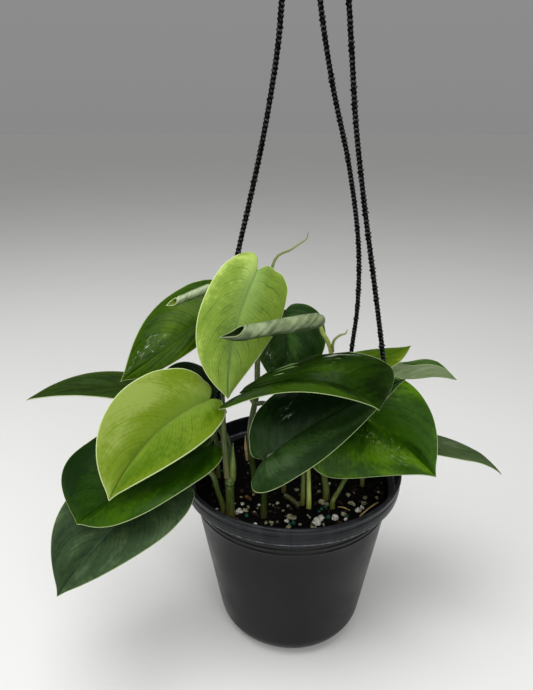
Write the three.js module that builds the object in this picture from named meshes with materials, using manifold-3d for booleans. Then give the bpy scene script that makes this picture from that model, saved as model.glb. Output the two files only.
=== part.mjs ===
// A satin pothos growing in a black plastic hanging pot, with its moulded three-strand hanger.
//
// Frame: millimetres, +Z up, the origin at the centre of the pot's flat base, which stands on a surface.
// The plant's front is towards -Y and its right is towards +X.
//
// Every leaf, leaf stalk, stem and hanger part is its own closed solid.

import * as THREE from 'three';
import { mergeVertices } from 'three/addons/utils/BufferGeometryUtils.js';
import Module from 'manifold-3d';

const manifold = await Module();
manifold.setup();

// ---------------------------------------------------------------- driving dimensions

const clearance = 0.3; // between two pieces that touch

const pot = {
  height: 131,
  rimRadius: 78,
  lipHeight: 12.8,
  lipTaper: 1.2, // the lip is this much narrower at its lower edge
  ledgeRadius: 71, // body radius just under the lip
  baseRadius: 36, // flat standing face
  cornerRadius: 18, // round between the wall and the base
  wall: 1.6,
  ribHeight: 0.5,
  ribLevels: [105, 109, 113],
  drainHoles: 6,
  drainRadius: 4,
  drainCircle: 27,
  facets: 40,
};
const bodyTaper = THREE.MathUtils.degToRad(9.6);

const soilLevel = 114;

const hanger = {
  strandRadius: 2.2,
  hubCentre: [4, 2],
  hubLevel: 493,
  hubRadius: 9,
  hubHeight: 8,
  hookRadius: 13, // to the middle of the rod
  hookRod: 2.8,
  hookStem: 7,
  clipWidth: 5,
  clipThickness: 2,
  clipTail: 104, // level of the lower end of the clip's outer leg
};

const leafThickness = 1.0;
const marginThickness = 0.7;

// ---------------------------------------------------------------- small tools

const vector = ([x, y, z]) => new THREE.Vector3(x, y, z);

const plant = new THREE.Group();

const blackPlastic = { color: 0x26282b, roughness: 0.45 };
const pottingMix = { color: 0x1b1512, roughness: 1 };
const stalkGreen = { color: 0x7d9440, roughness: 0.5 };
const paleGreen = { color: 0x9aa65a, roughness: 0.5 };
const newLeaf = { color: 0xb3c596, roughness: 0.35 };
const dryTan = { color: 0xb09a6a, roughness: 0.8 };

function addPart(name, geometry, { color, roughness }) {
  const mesh = new THREE.Mesh(geometry, new THREE.MeshStandardMaterial({ color, roughness, metalness: 0 }));
  mesh.name = name;
  plant.add(mesh);
  return mesh;
}

// A closed body turned about Z from (radius, height) points that start and end on the axis.
function turned(outline, facets) {
  const points = outline.map(([radius, height]) => new THREE.Vector2(radius, height));
  return new THREE.LatheGeometry(points, facets).rotateX(Math.PI / 2);
}

// A round rod of constant radius along a smooth curve.
function rod(curve, radius, sides, steps) {
  const section = new THREE.Shape();
  for (let k = 0; k < sides; k += 1) {
    const angle = (2 * Math.PI * k) / sides;
    const [x, y] = [radius * Math.cos(angle), radius * Math.sin(angle)];
    if (k === 0) section.moveTo(x, y);
    else section.lineTo(x, y);
  }
  section.closePath();
  return new THREE.ExtrudeGeometry(section, { steps, extrudePath: curve });
}

function rodThrough(points, radius, sides = 6, steps = 10) {
  return rod(new THREE.CatmullRomCurve3(points.map(vector)), radius, sides, steps);
}

function toManifold(geometry) {
  const bare = geometry.clone();
  bare.deleteAttribute('normal');
  bare.deleteAttribute('uv');
  const merged = mergeVertices(bare, 1e-4);
  const mesh = new manifold.Mesh({
    numProp: 3,
    vertProperties: new Float32Array(merged.attributes.position.array),
    triVerts: new Uint32Array(merged.index.array),
  });
  return new manifold.Manifold(mesh);
}

function fromManifold(solid) {
  const mesh = solid.getMesh();
  const geometry = new THREE.BufferGeometry();
  geometry.setAttribute('position', new THREE.BufferAttribute(mesh.vertProperties, 3));
  geometry.setIndex(new THREE.BufferAttribute(mesh.triVerts, 1));
  return geometry;
}

// ---------------------------------------------------------------- pot and soil

// Radius of the outer wall at a level above the rounded corner.
function bodyRadius(level) {
  return pot.ledgeRadius - (ledgeLevel - level) * Math.tan(bodyTaper);
}

// Quarter-round corner between the flat base and the tapered wall, offset inwards by inset.
function cornerArc(inset, steps) {
  const radius = pot.cornerRadius - inset;
  const end = Math.PI / 2 - bodyTaper;
  const arc = [];
  for (let k = 0; k <= steps; k += 1) {
    const angle = (end * k) / steps;
    arc.push([
      pot.baseRadius + radius * Math.sin(angle),
      pot.cornerRadius - radius * Math.cos(angle),
    ]);
  }
  return arc;
}

const lipBottom = pot.height - pot.lipHeight;
const ledgeLevel = lipBottom - 1.2;

function rib(level) {
  const wall = bodyRadius(level);
  return [[wall, level - 1], [wall + pot.ribHeight, level], [wall, level + 1]];
}

const potOutline = [
  [0, 0],
  ...cornerArc(0, 4),
  ...pot.ribLevels.flatMap(rib),
  [pot.ledgeRadius, ledgeLevel],
  [pot.rimRadius - pot.lipTaper, lipBottom],
  [pot.rimRadius, pot.height - 2],
  [pot.rimRadius - 0.8, pot.height],
  [pot.rimRadius - 2.2, pot.height],
  [pot.rimRadius - 2.8, pot.height - 1.5],
  [pot.rimRadius - 3.4, lipBottom + 0.6],
  [pot.ledgeRadius - 1.4, ledgeLevel],
  ...cornerArc(pot.wall, 4).reverse(),
  [0, pot.wall],
];

let potShell = toManifold(turned(potOutline, pot.facets));
for (let k = 0; k < pot.drainHoles; k += 1) {
  const angle = (2 * Math.PI * (k + 0.5)) / pot.drainHoles;
  const drill = new THREE.CylinderGeometry(pot.drainRadius, pot.drainRadius, 4 * pot.wall, 12);
  drill.rotateX(Math.PI / 2);
  drill.translate(pot.drainCircle * Math.cos(angle), pot.drainCircle * Math.sin(angle), 0);
  potShell = potShell.subtract(toManifold(drill));
}
addPart('pot', fromManifold(potShell), blackPlastic);

const soilInset = pot.wall + clearance + 0.1;
const soilOutline = [
  [0, soilInset],
  ...cornerArc(soilInset, 4),
  [bodyRadius(soilLevel) - soilInset, soilLevel],
  [0, soilLevel],
];
addPart('soil', turned(soilOutline, pot.facets), pottingMix);

// ---------------------------------------------------------------- hanger

// Each strand is a stiff moulded leg, slightly bowed, from a clip on the rim to the hub.
const strands = [
  {
    side: 'left',
    angle: 188,
    route: [[-66, -10.2, 151], [-57.2, -9.5, 166], [-51, -8.5, 188], [-47, -8, 220],
      [-42.5, -7.5, 251], [-34.9, -6.5, 289], [-28.8, -5.8, 314], [-18.8, -4.6, 359],
      [-11.8, -3.5, 401], [-9.5, -2.8, 426], [-4, -0.5, 465]],
    top: [-5, -1],
  },
  {
    side: 'back',
    angle: 56,
    route: [[46, 59, 160], [47.2, 53, 199], [48.7, 47, 234], [45.8, 39.4, 280], [35.4, 30.4, 334],
      [22, 22.5, 382], [12.8, 15.6, 424], [7, 10, 465]],
    top: [1, 5],
  },
  {
    side: 'right',
    angle: 3,
    route: [[72, 7, 155], [66.5, 8, 181], [61.2, 6.5, 213], [52.4, 5.4, 261], [42.7, 4.2, 312],
      [34.8, 3, 359], [29.8, 2, 401], [26, 1.7, 430], [15, 1.2, 470]],
    top: [5, -1],
  },
];

const clipTop = pot.height + clearance + hanger.clipThickness;
const strandSeat = pot.rimRadius - 2;

// Inverted U that straddles the rim, with a barb that snaps under the lip.
function clipOutline() {
  const outer = pot.rimRadius + clearance;
  const inner = pot.rimRadius - 3.4 - clearance;
  const barbTop = lipBottom - clearance - 0.1;
  const points = [
    [outer, hanger.clipTail],
    [outer + hanger.clipThickness, hanger.clipTail],
    [outer + hanger.clipThickness, clipTop],
    [inner - hanger.clipThickness, clipTop],
    [inner - hanger.clipThickness, pot.height - 7],
    [inner, pot.height - 7],
    [inner, pot.height + clearance],
    [outer, pot.height + clearance],
    [outer, barbTop],
    [outer - 3, barbTop],
    [outer, barbTop - 4],
  ];
  return new THREE.Shape(points.map(([x, y]) => new THREE.Vector2(x, y)));
}

const strandTop = hanger.hubLevel - clearance;
for (const strand of strands) {
  const angle = THREE.MathUtils.degToRad(strand.angle);
  const [x, y] = [strandSeat * Math.cos(angle), strandSeat * Math.sin(angle)];
  const foot = [[x, y, clipTop + clearance], [x, y, clipTop + 4]];
  const [headX, headY] = [hanger.hubCentre[0] + strand.top[0], hanger.hubCentre[1] + strand.top[1]];
  const head = [[headX, headY, strandTop - 4], [headX, headY, strandTop]];
  const leg = rodThrough([...foot, ...strand.route, ...head], hanger.strandRadius, 8, 28);
  addPart(`hanger_strand_${strand.side}`, leg, blackPlastic);

  const clip = new THREE.ExtrudeGeometry(clipOutline(), { depth: hanger.clipWidth, bevelEnabled: false });
  clip.translate(0, 0, -hanger.clipWidth / 2);
  clip.rotateX(Math.PI / 2);
  const clipMesh = addPart(`hanger_clip_${strand.side}`, clip, blackPlastic);
  clipMesh.rotation.z = angle;
}

const hub = turned([
  [0, 0],
  [hanger.hubRadius - 1.5, 0],
  [hanger.hubRadius, 1.5],
  [hanger.hubRadius, hanger.hubHeight - 4],
  [hanger.hookRod + 1, hanger.hubHeight],
  [0, hanger.hubHeight],
], 16);
addPart('hanger_hub', hub, blackPlastic).position.set(...hanger.hubCentre, hanger.hubLevel);

// Open crook: up the stem, round over the top and down to a free end.
const hookFoot = hanger.hubLevel + hanger.hubHeight + clearance;
const hookCentre = hookFoot + hanger.hookStem + hanger.hookRadius;
const [hookX, hookY] = hanger.hubCentre;
const hookRoute = [[hookX, hookY, hookFoot]];
for (let degrees = -90; degrees >= -335; degrees -= 35) {
  const angle = THREE.MathUtils.degToRad(degrees);
  hookRoute.push([
    hookX + hanger.hookRadius * Math.cos(angle),
    hookY,
    hookCentre + hanger.hookRadius * Math.sin(angle),
  ]);
}
addPart('hanger_hook', rodThrough(hookRoute, hanger.hookRod, 8, 24), blackPlastic);

// ---------------------------------------------------------------- leaf blades

// Half outline of a heart-shaped blade: (along the midrib, across it).
// Along runs from 0 at the stalk to 1 at the tip, and is negative in the basal lobe.
const heart = [
  [0, 0], [-0.05, 0.06], [-0.115, 0.18], [-0.15, 0.36], [-0.135, 0.58], [-0.06, 0.79], [0.06, 0.93],
  [0.2, 0.99], [0.34, 1], [0.48, 0.93], [0.62, 0.78], [0.75, 0.56], [0.86, 0.32], [0.94, 0.12], [1, 0],
].map(([along, across]) => new THREE.Vector3(along, across, 0));
const widest = 0.34;
const lobeReach = 0.15;
const heartCurve = new THREE.CatmullRomCurve3(heart, false, 'catmullrom', 0.5);

// A blade is laid out by five points: where the stalk meets it, the middle and the tip of its
// midrib, and the two points of its margin where it is widest.
// lobes shortens each basal lobe, full moves each half's widest point towards the tip (below 1)
// or towards the stalk (above 1), flare narrows each half towards the stalk, and droop is how far
// the tip hangs below the midrib's own line.
class Blade {
  constructor({ stalk, middle, tip, left, right, lobes = [1, 1], full = [1, 1], flare = [0, 0], droop = 0 }) {
    this.start = vector(stalk);
    this.end = vector(tip);
    this.control = vector(middle).multiplyScalar(2)
      .addScaledVector(this.start, -0.5).addScaledVector(this.end, -0.5);
    this.lobes = lobes;
    this.full = full;
    this.flare = flare;
    this.droop = droop;
    this.halves = [left, right].map((edge, side) => {
      const rib = this.midrib(widest ** full[side]);
      return { reach: vector(edge).sub(rib.point), tangent: rib.tangent };
    });
  }

  midrib(along) {
    const inner = Math.max(along, 0);
    const first = this.control.clone().sub(this.start);
    const second = this.end.clone().sub(this.control);
    const point = this.start.clone().multiplyScalar((1 - inner) ** 2)
      .addScaledVector(this.control, 2 * inner * (1 - inner))
      .addScaledVector(this.end, inner ** 2);
    if (along < 0) point.addScaledVector(first, 2 * along);
    const tangent = first.multiplyScalar(1 - inner).addScaledVector(second, inner);
    const hang = Math.max(0, (inner - 0.7) / 0.3);
    point.z -= this.droop * hang ** 2;
    tangent.z -= this.droop * hang / 0.3;
    return { point, tangent: tangent.normalize() };
  }

  // across runs from -1 at the left margin to 1 at the right one.
  surface(along, across) {
    const side = across < 0 ? 0 : 1;
    const spread = Math.abs(across);
    const inner = Math.max(along, 0);
    const shift = (1 - this.lobes[side]) * lobeReach * Math.min(1, spread / 0.38) * (1 - inner) ** 4;
    const place = (along < 0 ? along : along ** this.full[side]) + shift;
    const { point, tangent } = this.midrib(place);
    const half = this.halves[side];
    const turn = new THREE.Quaternion().setFromUnitVectors(half.tangent, tangent);
    const reach = half.reach.clone().applyQuaternion(turn);
    const normal = tangent.clone().cross(reach).multiplyScalar(side === 0 ? 1 : -1).normalize();
    const narrowing = 1 - this.flare[side] * (1 - Math.min(1, Math.max(place, 0))) ** 2;
    point.addScaledVector(reach, spread * narrowing);
    return { point, normal };
  }
}

const bladeRows = 12;
const bladeColumns = 3; // on each half

// Closed thin solid: a grid of the upper face, the same grid of the lower face, and the margin.
function bladeGeometry(blade) {
  const positions = [];
  const faces = [];
  const rows = [];

  function place(point, normal, thickness) {
    const upper = positions.length / 3;
    positions.push(...point.clone().addScaledVector(normal, thickness / 2));
    positions.push(...point.clone().addScaledVector(normal, -thickness / 2));
    return { upper, lower: upper + 1 };
  }

  function middleNormal(along) {
    const left = blade.surface(along, -1e-6).normal;
    return left.add(blade.surface(along, 1e-6).normal).normalize();
  }

  for (let row = 0; row <= bladeRows; row += 1) {
    const share = row / bladeRows;
    const vein = share ** 2.4;
    const rim = heartCurve.getPoint(share);
    if (row === 0 || row === bladeRows) {
      const end = blade.midrib(share).point;
      rows.push([place(end, middleNormal(share), leafThickness)]);
      continue;
    }
    const line = [];
    for (let column = -bladeColumns; column <= bladeColumns; column += 1) {
      const out = Math.abs(column) / bladeColumns;
      const along = vein + (rim.x - vein) * out;
      const { point, normal } = blade.surface(along, Math.sign(column) * Math.max(rim.y * out, 1e-6));
      const thickness = leafThickness + (marginThickness - leafThickness) * out;
      line.push(place(point, column === 0 ? middleNormal(along) : normal, thickness));
    }
    rows.push(line);
  }

  function triangle(a, b, c) {
    faces.push(a.upper, b.upper, c.upper);
    faces.push(a.lower, c.lower, b.lower);
  }

  function edge(a, b) {
    faces.push(a.upper, b.upper, b.lower);
    faces.push(a.upper, b.lower, a.lower);
  }

  const last = 2 * bladeColumns;
  for (let column = 0; column < last; column += 1) {
    triangle(rows[0][0], rows[1][column + 1], rows[1][column]);
    triangle(rows[bladeRows - 1][column], rows[bladeRows - 1][column + 1], rows[bladeRows][0]);
    for (let row = 1; row < bladeRows - 1; row += 1) {
      const [near, far] = [rows[row], rows[row + 1]];
      triangle(near[column], near[column + 1], far[column + 1]);
      triangle(near[column], far[column + 1], far[column]);
    }
  }
  for (let row = 0; row < bladeRows; row += 1) {
    const [near, far] = [rows[row], rows[row + 1]];
    edge(near[0], far[0]);
    edge(far[far.length - 1], near[near.length - 1]);
  }

  const geometry = new THREE.BufferGeometry();
  geometry.setAttribute('position', new THREE.Float32BufferAttribute(positions, 3));
  geometry.setIndex(faces);
  return geometry;
}

// Last points of a stalk that meets a blade from the side [along the blade's normal, along its midrib].
function bladeSeat(blade, stalkRadius, [over, ahead] = [-1, 0], rise = 8) {
  const [left, right] = [blade.surface(0.05, -1e-6), blade.surface(0.05, 1e-6)];
  const normal = left.normal.clone().add(right.normal).normalize();
  const from = normal.clone().multiplyScalar(over).addScaledVector(blade.midrib(0).tangent, ahead);
  from.normalize();
  const inward = right.normal.clone().sub(left.normal);
  const droop = inward.dot(blade.halves[1].reach) * over < 0 ? inward.length() / 2 : 0;
  const slant = Math.abs(ahead) * 0.6;
  const drop = leafThickness / 2 + clearance + 0.2 + stalkRadius * (droop + slant);
  const end = blade.start.clone().addScaledVector(from, drop);
  const before = end.clone().addScaledVector(from, rise);
  return [before.toArray(), end.toArray()];
}

// ---------------------------------------------------------------- leaves and their stalks

// stem lists the stalk's points from the soil up; the stalk then bends up to the blade.
const leaves = [
  {
    name: 'tall_front',
    colour: 0x9dbb5e,
    blade: {
      stalk: [-24, -13, 275], middle: [-38, -32, 241], tip: [-42, -40, 200],
      left: [-9.5, -17.5, 243], right: [-60, -31.5, 249.5], lobes: [0.3, 0.95], full: [0.8, 0.92],
    },
    stem: [[-26, -12, soilLevel], [-29.5, -12, 150], [-29, -12, 167], [-25, -7, 188], [-24, -1, 215],
      [-21, 2, 240], [-21, -2, 262]],
    radius: 2,
  },
  {
    name: 'behind_new',
    colour: 0x2f4f2a,
    blade: {
      stalk: [-5, 25, 237], middle: [-5, 14, 213], tip: [-10, 8, 182],
      left: [23, 16, 216], right: [-30, 22, 221], lobes: [0.8, 1],
    },
    stem: [[6.8, -27, soilLevel], [7, -12, 150], [2, 14, 190], [-4, 34, 226]],
    radius: 1.6,
  },
  {
    name: 'upper_left',
    colour: 0x4a6f14,
    blade: {
      stalk: [-47, 20, 242], middle: [-82, -5, 223], tip: [-113, -20, 203],
      left: [-71, -8, 217], right: [-87.5, 25, 247], lobes: [1, 0.6],
    },
    stem: [[-44, 2, soilLevel], [-48.5, 14, 137], [-50.5, 28, 165], [-51, 34, 195], [-48, 30, 222]],
    radius: 1.8,
  },
  {
    name: 'far_left',
    colour: 0x48682c,
    blade: {
      stalk: [-91, 12, 176], middle: [-138, 0, 191], tip: [-183, -5, 182],
      left: [-120, -14.5, 188], right: [-113, 23, 190.5], lobes: [0.2, 1], full: [1, 1.3],
    },
    stem: [[-56, -4, soilLevel], [-62, 4, 145], [-80, 15, 162]],
    radius: 1.7,
  },
  {
    name: 'left_shaded',
    colour: 0x24401a,
    blade: {
      stalk: [-53, 12, 173], middle: [-74, 2, 185], tip: [-88, -5.5, 174],
      left: [-70, -5.5, 176], right: [-76, 24, 199], lobes: [1, 0.2],
    },
    stem: [[-54, 8, soilLevel], [-55, 12, 140]],
    radius: 1.7,
  },
  {
    name: 'left_light',
    colour: 0x8fae3f,
    blade: {
      stalk: [-56, -25, 192], middle: [-89, -53, 179], tip: [-112, -75, 150],
      left: [-61, -60, 177], right: [-106, -40, 207.5], lobes: [0.3, 0.4],
    },
    stem: [[-43.6, -39.3, 143.3], [-45.6, -35.5, 166], [-47.5, -31, 182]],
    radius: 2,
  },
  {
    name: 'left_dark',
    colour: 0x375f10,
    blade: {
      stalk: [-57, -28, 160], middle: [-99, -55, 150], tip: [-134, -72, 131],
      left: [-85, -77, 146], right: [-141, -41, 159.7], lobes: [0.45, 0.8], full: [0.8, 0.45],
      flare: [0, -0.45],
    },
    stem: [[-40.6, -35.8, 143.6], [-41.6, -31.5, 158], [-46, -29, 171], [-50.5, -28, 173]],
    radius: 1.6,
    approach: [1, -0.7],
    rise: 4,
  },
  {
    name: 'left_lowest',
    colour: 0x3a5a3c,
    blade: {
      stalk: [-89, -42, 137], middle: [-118, -72, 122], tip: [-146, -88, 90],
      left: [-79, -76, 127], right: [-146, -52, 135], lobes: [0.6, 1],
    },
    stem: [[-47.6, -37, soilLevel], [-50.6, -37, 131], [-54, -37, 144], [-63, -36, 149], [-74, -36, 147]],
    radius: 1.8,
    approach: [1, -1],
    rise: 5,
  },
  {
    name: 'centre_arched',
    colour: 0x3f6314,
    blade: {
      stalk: [-29, -35, 203], middle: [15, -50, 217], tip: [49, -55, 200],
      left: [60, -26, 217.6], right: [2, -67, 217.5], lobes: [0.4, 0.8], full: [0.2, 0.6],
      flare: [0.72, 0],
    },
    stem: [[-6, -12, soilLevel], [-8, -10, 150], [-18, -16, 184]],
    radius: 1.6,
    approach: [-1, 0.15],
  },
  {
    name: 'centre_front',
    colour: 0x3d5e35,
    blade: {
      stalk: [-19, -55, 167], middle: [24, -33, 186], tip: [76, -5, 198],
      left: [6, -20.5, 201.5], right: [13, -61, 167.5], lobes: [0.6, 0.88], flare: [-0.28, 0],
    },
    stem: [[-20, -40, soilLevel], [-19, -42, 145]],
    radius: 2,
  },
  {
    name: 'right_glossy',
    colour: 0x4d7a05,
    blade: {
      stalk: [27, -4, 182], middle: [64.5, -18, 164], tip: [92, -42, 145],
      left: [78, -3.5, 195], right: [19, -43, 147], lobes: [0.2, 0.6], full: [1.5, 1],
    },
    stem: [[23.4, -20, soilLevel], [21, -14, 140]],
    radius: 2.3,
  },
  {
    name: 'right_upper',
    colour: 0x76992a,
    blade: {
      stalk: [27, 24, 199], middle: [59, 28, 200], tip: [88, 36, 206.5],
      left: [50, 42, 199.5], right: [61, 12, 196.5], full: [1, 0.6],
    },
    stem: [[19, 38, soilLevel], [20, 44, 150], [22, 36, 182]],
    radius: 1.6,
  },
  {
    name: 'right_back',
    colour: 0x7f9c66,
    blade: {
      stalk: [66, 42, 186], middle: [92, 50, 174], tip: [131, 54, 180],
      left: [100, 63, 184], right: [97.5, 42, 189], full: [1.1, 0.7], droop: 9,
    },
    stem: [[51, -4, soilLevel], [52, 16, 130], [55, 46, 152], [61, 48, 172]],
    radius: 1.6,
  },
  {
    name: 'far_right',
    colour: 0x54763c,
    blade: {
      stalk: [84, 18, 143], middle: [121, 8, 136.5], tip: [152, -3, 127.5],
      left: [120, 26, 134.5], right: [98, -5, 140.5], lobes: [1, 0.1], droop: 6,
    },
    stem: [[27, -31, soilLevel], [31, -26, 123], [40, -16, 132], [62, 12, 135]],
    radius: 1.6,
  },
  {
    name: 'back_centre',
    colour: 0x3f6520,
    blade: {
      stalk: [1, 34, 157], middle: [7, 70, 157], tip: [14, 98, 149],
      left: [-11, 58, 153], right: [18, 58, 152],
    },
    stem: [[0, 22, soilLevel], [1, 26, 138]],
    radius: 1.6,
  },
  {
    name: 'back_left',
    colour: 0x3f6520,
    blade: {
      stalk: [-65, 35, 156], middle: [-82, 58, 159], tip: [-97, 80, 148],
      left: [-86, 44, 148], right: [-68, 66, 160],
    },
    stem: [[-46, 22, soilLevel], [-51, 27, 136]],
    radius: 1.6,
  },
];

// A stem's points; one that starts at the soil gets a foot just clear of it and a few upright millimetres.
function rooted([foot, ...rest]) {
  const [x, y, z] = foot;
  if (z > soilLevel) return [foot, ...rest];
  return [[x, y, soilLevel + clearance], [x, y, soilLevel + 5], ...rest];
}

for (const leaf of leaves) {
  const blade = new Blade(leaf.blade);
  addPart(`leaf_${leaf.name}`, bladeGeometry(blade), { color: leaf.colour, roughness: 0.42 });
  const seat = bladeSeat(blade, leaf.radius, leaf.approach, leaf.rise);
  addPart(`stalk_${leaf.name}`, rodThrough([...rooted(leaf.stem), ...seat], leaf.radius), stalkGreen);
}

// ---------------------------------------------------------------- new leaves still rolled up

// The stalk of the large one meets it from below, and that of the small one end to end.
const rolledLeaves = [
  {
    name: 'new_rolled',
    base: [17, -25, 247],
    tip: [-45, -62, 249],
    girth: 5.6,
    stem: [[10.7, -31, soilLevel], [11, -16, 140], [13, -2, 170], [22.5, -6, 203], [23.9, -12, 218.4],
      [22.2, -16, 226.2], [19.4, -20.5, 233], [16.6, -24.4, 238.4], [15.2, -26, 242.65]],
    radius: 1.5,
  },
  {
    name: 'new_small',
    base: [-53, 4, 260],
    tip: [-82, -12, 252],
    girth: 3.2,
    stem: [[-26, 2, 222], [-31, 4, 234], [-40, 6, 250], [-47, 5.5, 258], [-50.1, 5.6, 260.8],
      [-52.6, 4.2, 260.1]],
    radius: 1.1,
  },
];

// Girth along the roll, as shares of its length and of its greatest radius.
const rollProfile = [
  [0, 0], [0.01, 0.6], [0.07, 0.95], [0.2, 1], [0.45, 0.97], [0.7, 0.84], [0.88, 0.5], [1, 0],
];

for (const roll of rolledLeaves) {
  const base = vector(roll.base);
  const axis = vector(roll.tip).sub(base);
  const outline = rollProfile.map(([share, girth]) => [girth * roll.girth, share * axis.length()]);
  const mesh = addPart(`leaf_${roll.name}`, turned(outline, 10), newLeaf);
  axis.normalize();
  mesh.position.copy(base);
  mesh.quaternion.setFromUnitVectors(new THREE.Vector3(0, 0, 1), axis);
  addPart(`stalk_${roll.name}`, rodThrough(rooted(roll.stem), roll.radius), stalkGreen);
}

// ---------------------------------------------------------------- stem, sheaths, shoots and stubs

const nodeLevel = 142.7;

addPart('stem_main', rodThrough([
  [-42.4, -40, soilLevel + clearance], [-42.4, -40, 128], [-42.4, -40, nodeLevel],
], 3, 8, 4), stalkGreen);

const twigs = [
  {
    name: 'sheath_main',
    route: [[-39.6, -40.4, nodeLevel + clearance], [-39.6, -39.8, 155], [-39.4, -39, 169]],
    radius: 1.6,
    finish: paleGreen,
  },
  {
    name: 'sheath_dried',
    route: [[-31.6, -13.2, 140], [-32.4, -13.2, 149], [-32.8, -13.2, 160]],
    radius: 0.9,
    finish: dryTan,
  },
  {
    name: 'shoot_upper',
    route: [[-17.8, 1.2, 252], [-15, 1, 272], [-11, 1, 281], [-3, 1, 285], [3, 1, 289], [7, 1, 292],
      [8, 1, 296]],
    radius: 0.9,
    finish: paleGreen,
  },
  {
    name: 'shoot_right',
    route: [[24.5, -16.8, 222.7], [23.9, -19, 228.1], [24.5, -20, 231.5], [26.1, -20, 233.5],
      [28.7, -20, 235.3], [31.5, -20, 236.2], [32.6, -20, 238.9]],
    radius: 0.8,
    finish: paleGreen,
  },
  {
    name: 'stub_left',
    route: [[-28.9, -25.3, soilLevel + 2], [-31, -24.5, soilLevel + 3.2], [-33.1, -25.4, soilLevel + 4.4]],
    radius: 1.5,
    finish: dryTan,
  },
  {
    name: 'stub_centre',
    route: [[3.5, -30, soilLevel + 2.1], [-1, -27, soilLevel + 3.4], [-5.7, -23.5, soilLevel + 4.3]],
    radius: 1.7,
    finish: stalkGreen,
  },
];
for (const twig of twigs) {
  addPart(twig.name, rodThrough(twig.route, twig.radius, 6, 8), twig.finish);
}

export default plant;
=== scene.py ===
"""Looks of a satin pothos growing in a black plastic pot with a moulded three-strand hanger.

Lengths are in millimetres until a mesh is made, and in metres from there on. +Z is up and the
plant's front is towards -Y. Every blade, stalk, strand and clip is a fine mesh that stands for the
CAD node of the same place.
"""

import math
import random

import bmesh
import bpy
import numpy as np
from mathutils import Matrix, Vector, noise


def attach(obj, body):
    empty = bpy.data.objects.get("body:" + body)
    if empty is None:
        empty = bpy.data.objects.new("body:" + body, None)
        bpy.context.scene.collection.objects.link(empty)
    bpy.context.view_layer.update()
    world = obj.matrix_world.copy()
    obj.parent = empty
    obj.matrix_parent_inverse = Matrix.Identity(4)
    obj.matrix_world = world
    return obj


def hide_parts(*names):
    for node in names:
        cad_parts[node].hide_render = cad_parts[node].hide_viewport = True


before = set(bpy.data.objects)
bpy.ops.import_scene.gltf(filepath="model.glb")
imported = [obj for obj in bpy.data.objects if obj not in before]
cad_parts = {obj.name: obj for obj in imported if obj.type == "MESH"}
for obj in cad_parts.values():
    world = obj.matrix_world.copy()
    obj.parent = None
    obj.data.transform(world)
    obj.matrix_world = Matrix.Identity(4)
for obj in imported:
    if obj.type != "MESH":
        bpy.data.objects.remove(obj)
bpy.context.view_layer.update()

MM = 0.001
VEIN_SWEEP = 0.17  # how far the side veins of a blade lean towards its tip at the margin


# ---------------------------------------------------------------- curves

def unit(vectors):
    """The same vectors with length 1, for one vector or an array of them."""
    vectors = np.asarray(vectors, float)
    return vectors / np.maximum(np.linalg.norm(vectors, axis=-1, keepdims=True), 1e-12)


def smoothstep(low, high, value):
    """0 up to low, 1 from high, and a smooth change between them."""
    share = np.clip((value - low) / (high - low), 0, 1)
    return share * share * (3 - 2 * share)


def bell(distance, width):
    """1 where the distance is 0, falling to nearly 0 at twice the width."""
    return np.exp(-(distance / width) ** 2)


def spline(points, samples, uniform=False):
    """A Catmull-Rom curve through the points, sampled evenly in its parameter: centripetal or uniform."""
    points = np.asarray(points, float)
    padded = np.vstack([2 * points[0] - points[1], points, 2 * points[-1] - points[-2]])
    position = np.linspace(0, len(points) - 1, samples)
    index = np.minimum(position.astype(int), len(points) - 2)
    share = (position - index)[:, None]
    p0, p1, p2, p3 = (padded[index + k] for k in range(4))
    if uniform:
        enter = (p2 - p0) / 2
        leave = (p3 - p1) / 2
    else:
        d0, d1, d2 = (np.sqrt(np.linalg.norm(b - a, axis=1))[:, None]
                      for a, b in ((p0, p1), (p1, p2), (p2, p3)))
        enter = ((p1 - p0) / d0 - (p2 - p0) / (d0 + d1) + (p2 - p1) / d1) * d1
        leave = ((p2 - p1) / d1 - (p3 - p1) / (d1 + d2) + (p3 - p2) / d2) * d1
    square, cube = share ** 2, share ** 3
    return (p1 * (2 * cube - 3 * square + 1) + enter * (cube - 2 * square + share)
            + p2 * (3 * square - 2 * cube) + leave * (cube - square))


def lengths_along(path):
    """Length of the path from its start up to each of its points."""
    return np.concatenate([[0], np.cumsum(np.linalg.norm(np.diff(path, axis=0), axis=1))])


def evenly(path, step):
    """The path resampled at equal steps along its length, with the length at each new point."""
    lengths = lengths_along(path)
    count = max(3, int(round(lengths[-1] / step)) + 1)
    at = np.linspace(0, lengths[-1], count)
    return np.stack([np.interp(at, lengths, path[:, k]) for k in range(3)], axis=1), at


def frames_along(path, facing):
    """Two directions across the path that turn with it as little as possible."""
    tangents = unit(np.gradient(path, axis=0))
    across = unit(np.asarray(facing, float) - np.dot(facing, tangents[0]) * tangents[0])
    firsts = []
    for tangent in tangents:
        across = unit(across - np.dot(across, tangent) * tangent)
        firsts.append(across)
    return np.array(firsts), np.cross(tangents, firsts)


# ---------------------------------------------------------------- meshes

def show(name, data):
    """The mesh, lamp or camera as an object of the scene."""
    made = bpy.data.objects.new(name, data)
    bpy.context.scene.collection.objects.link(made)
    return made


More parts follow.
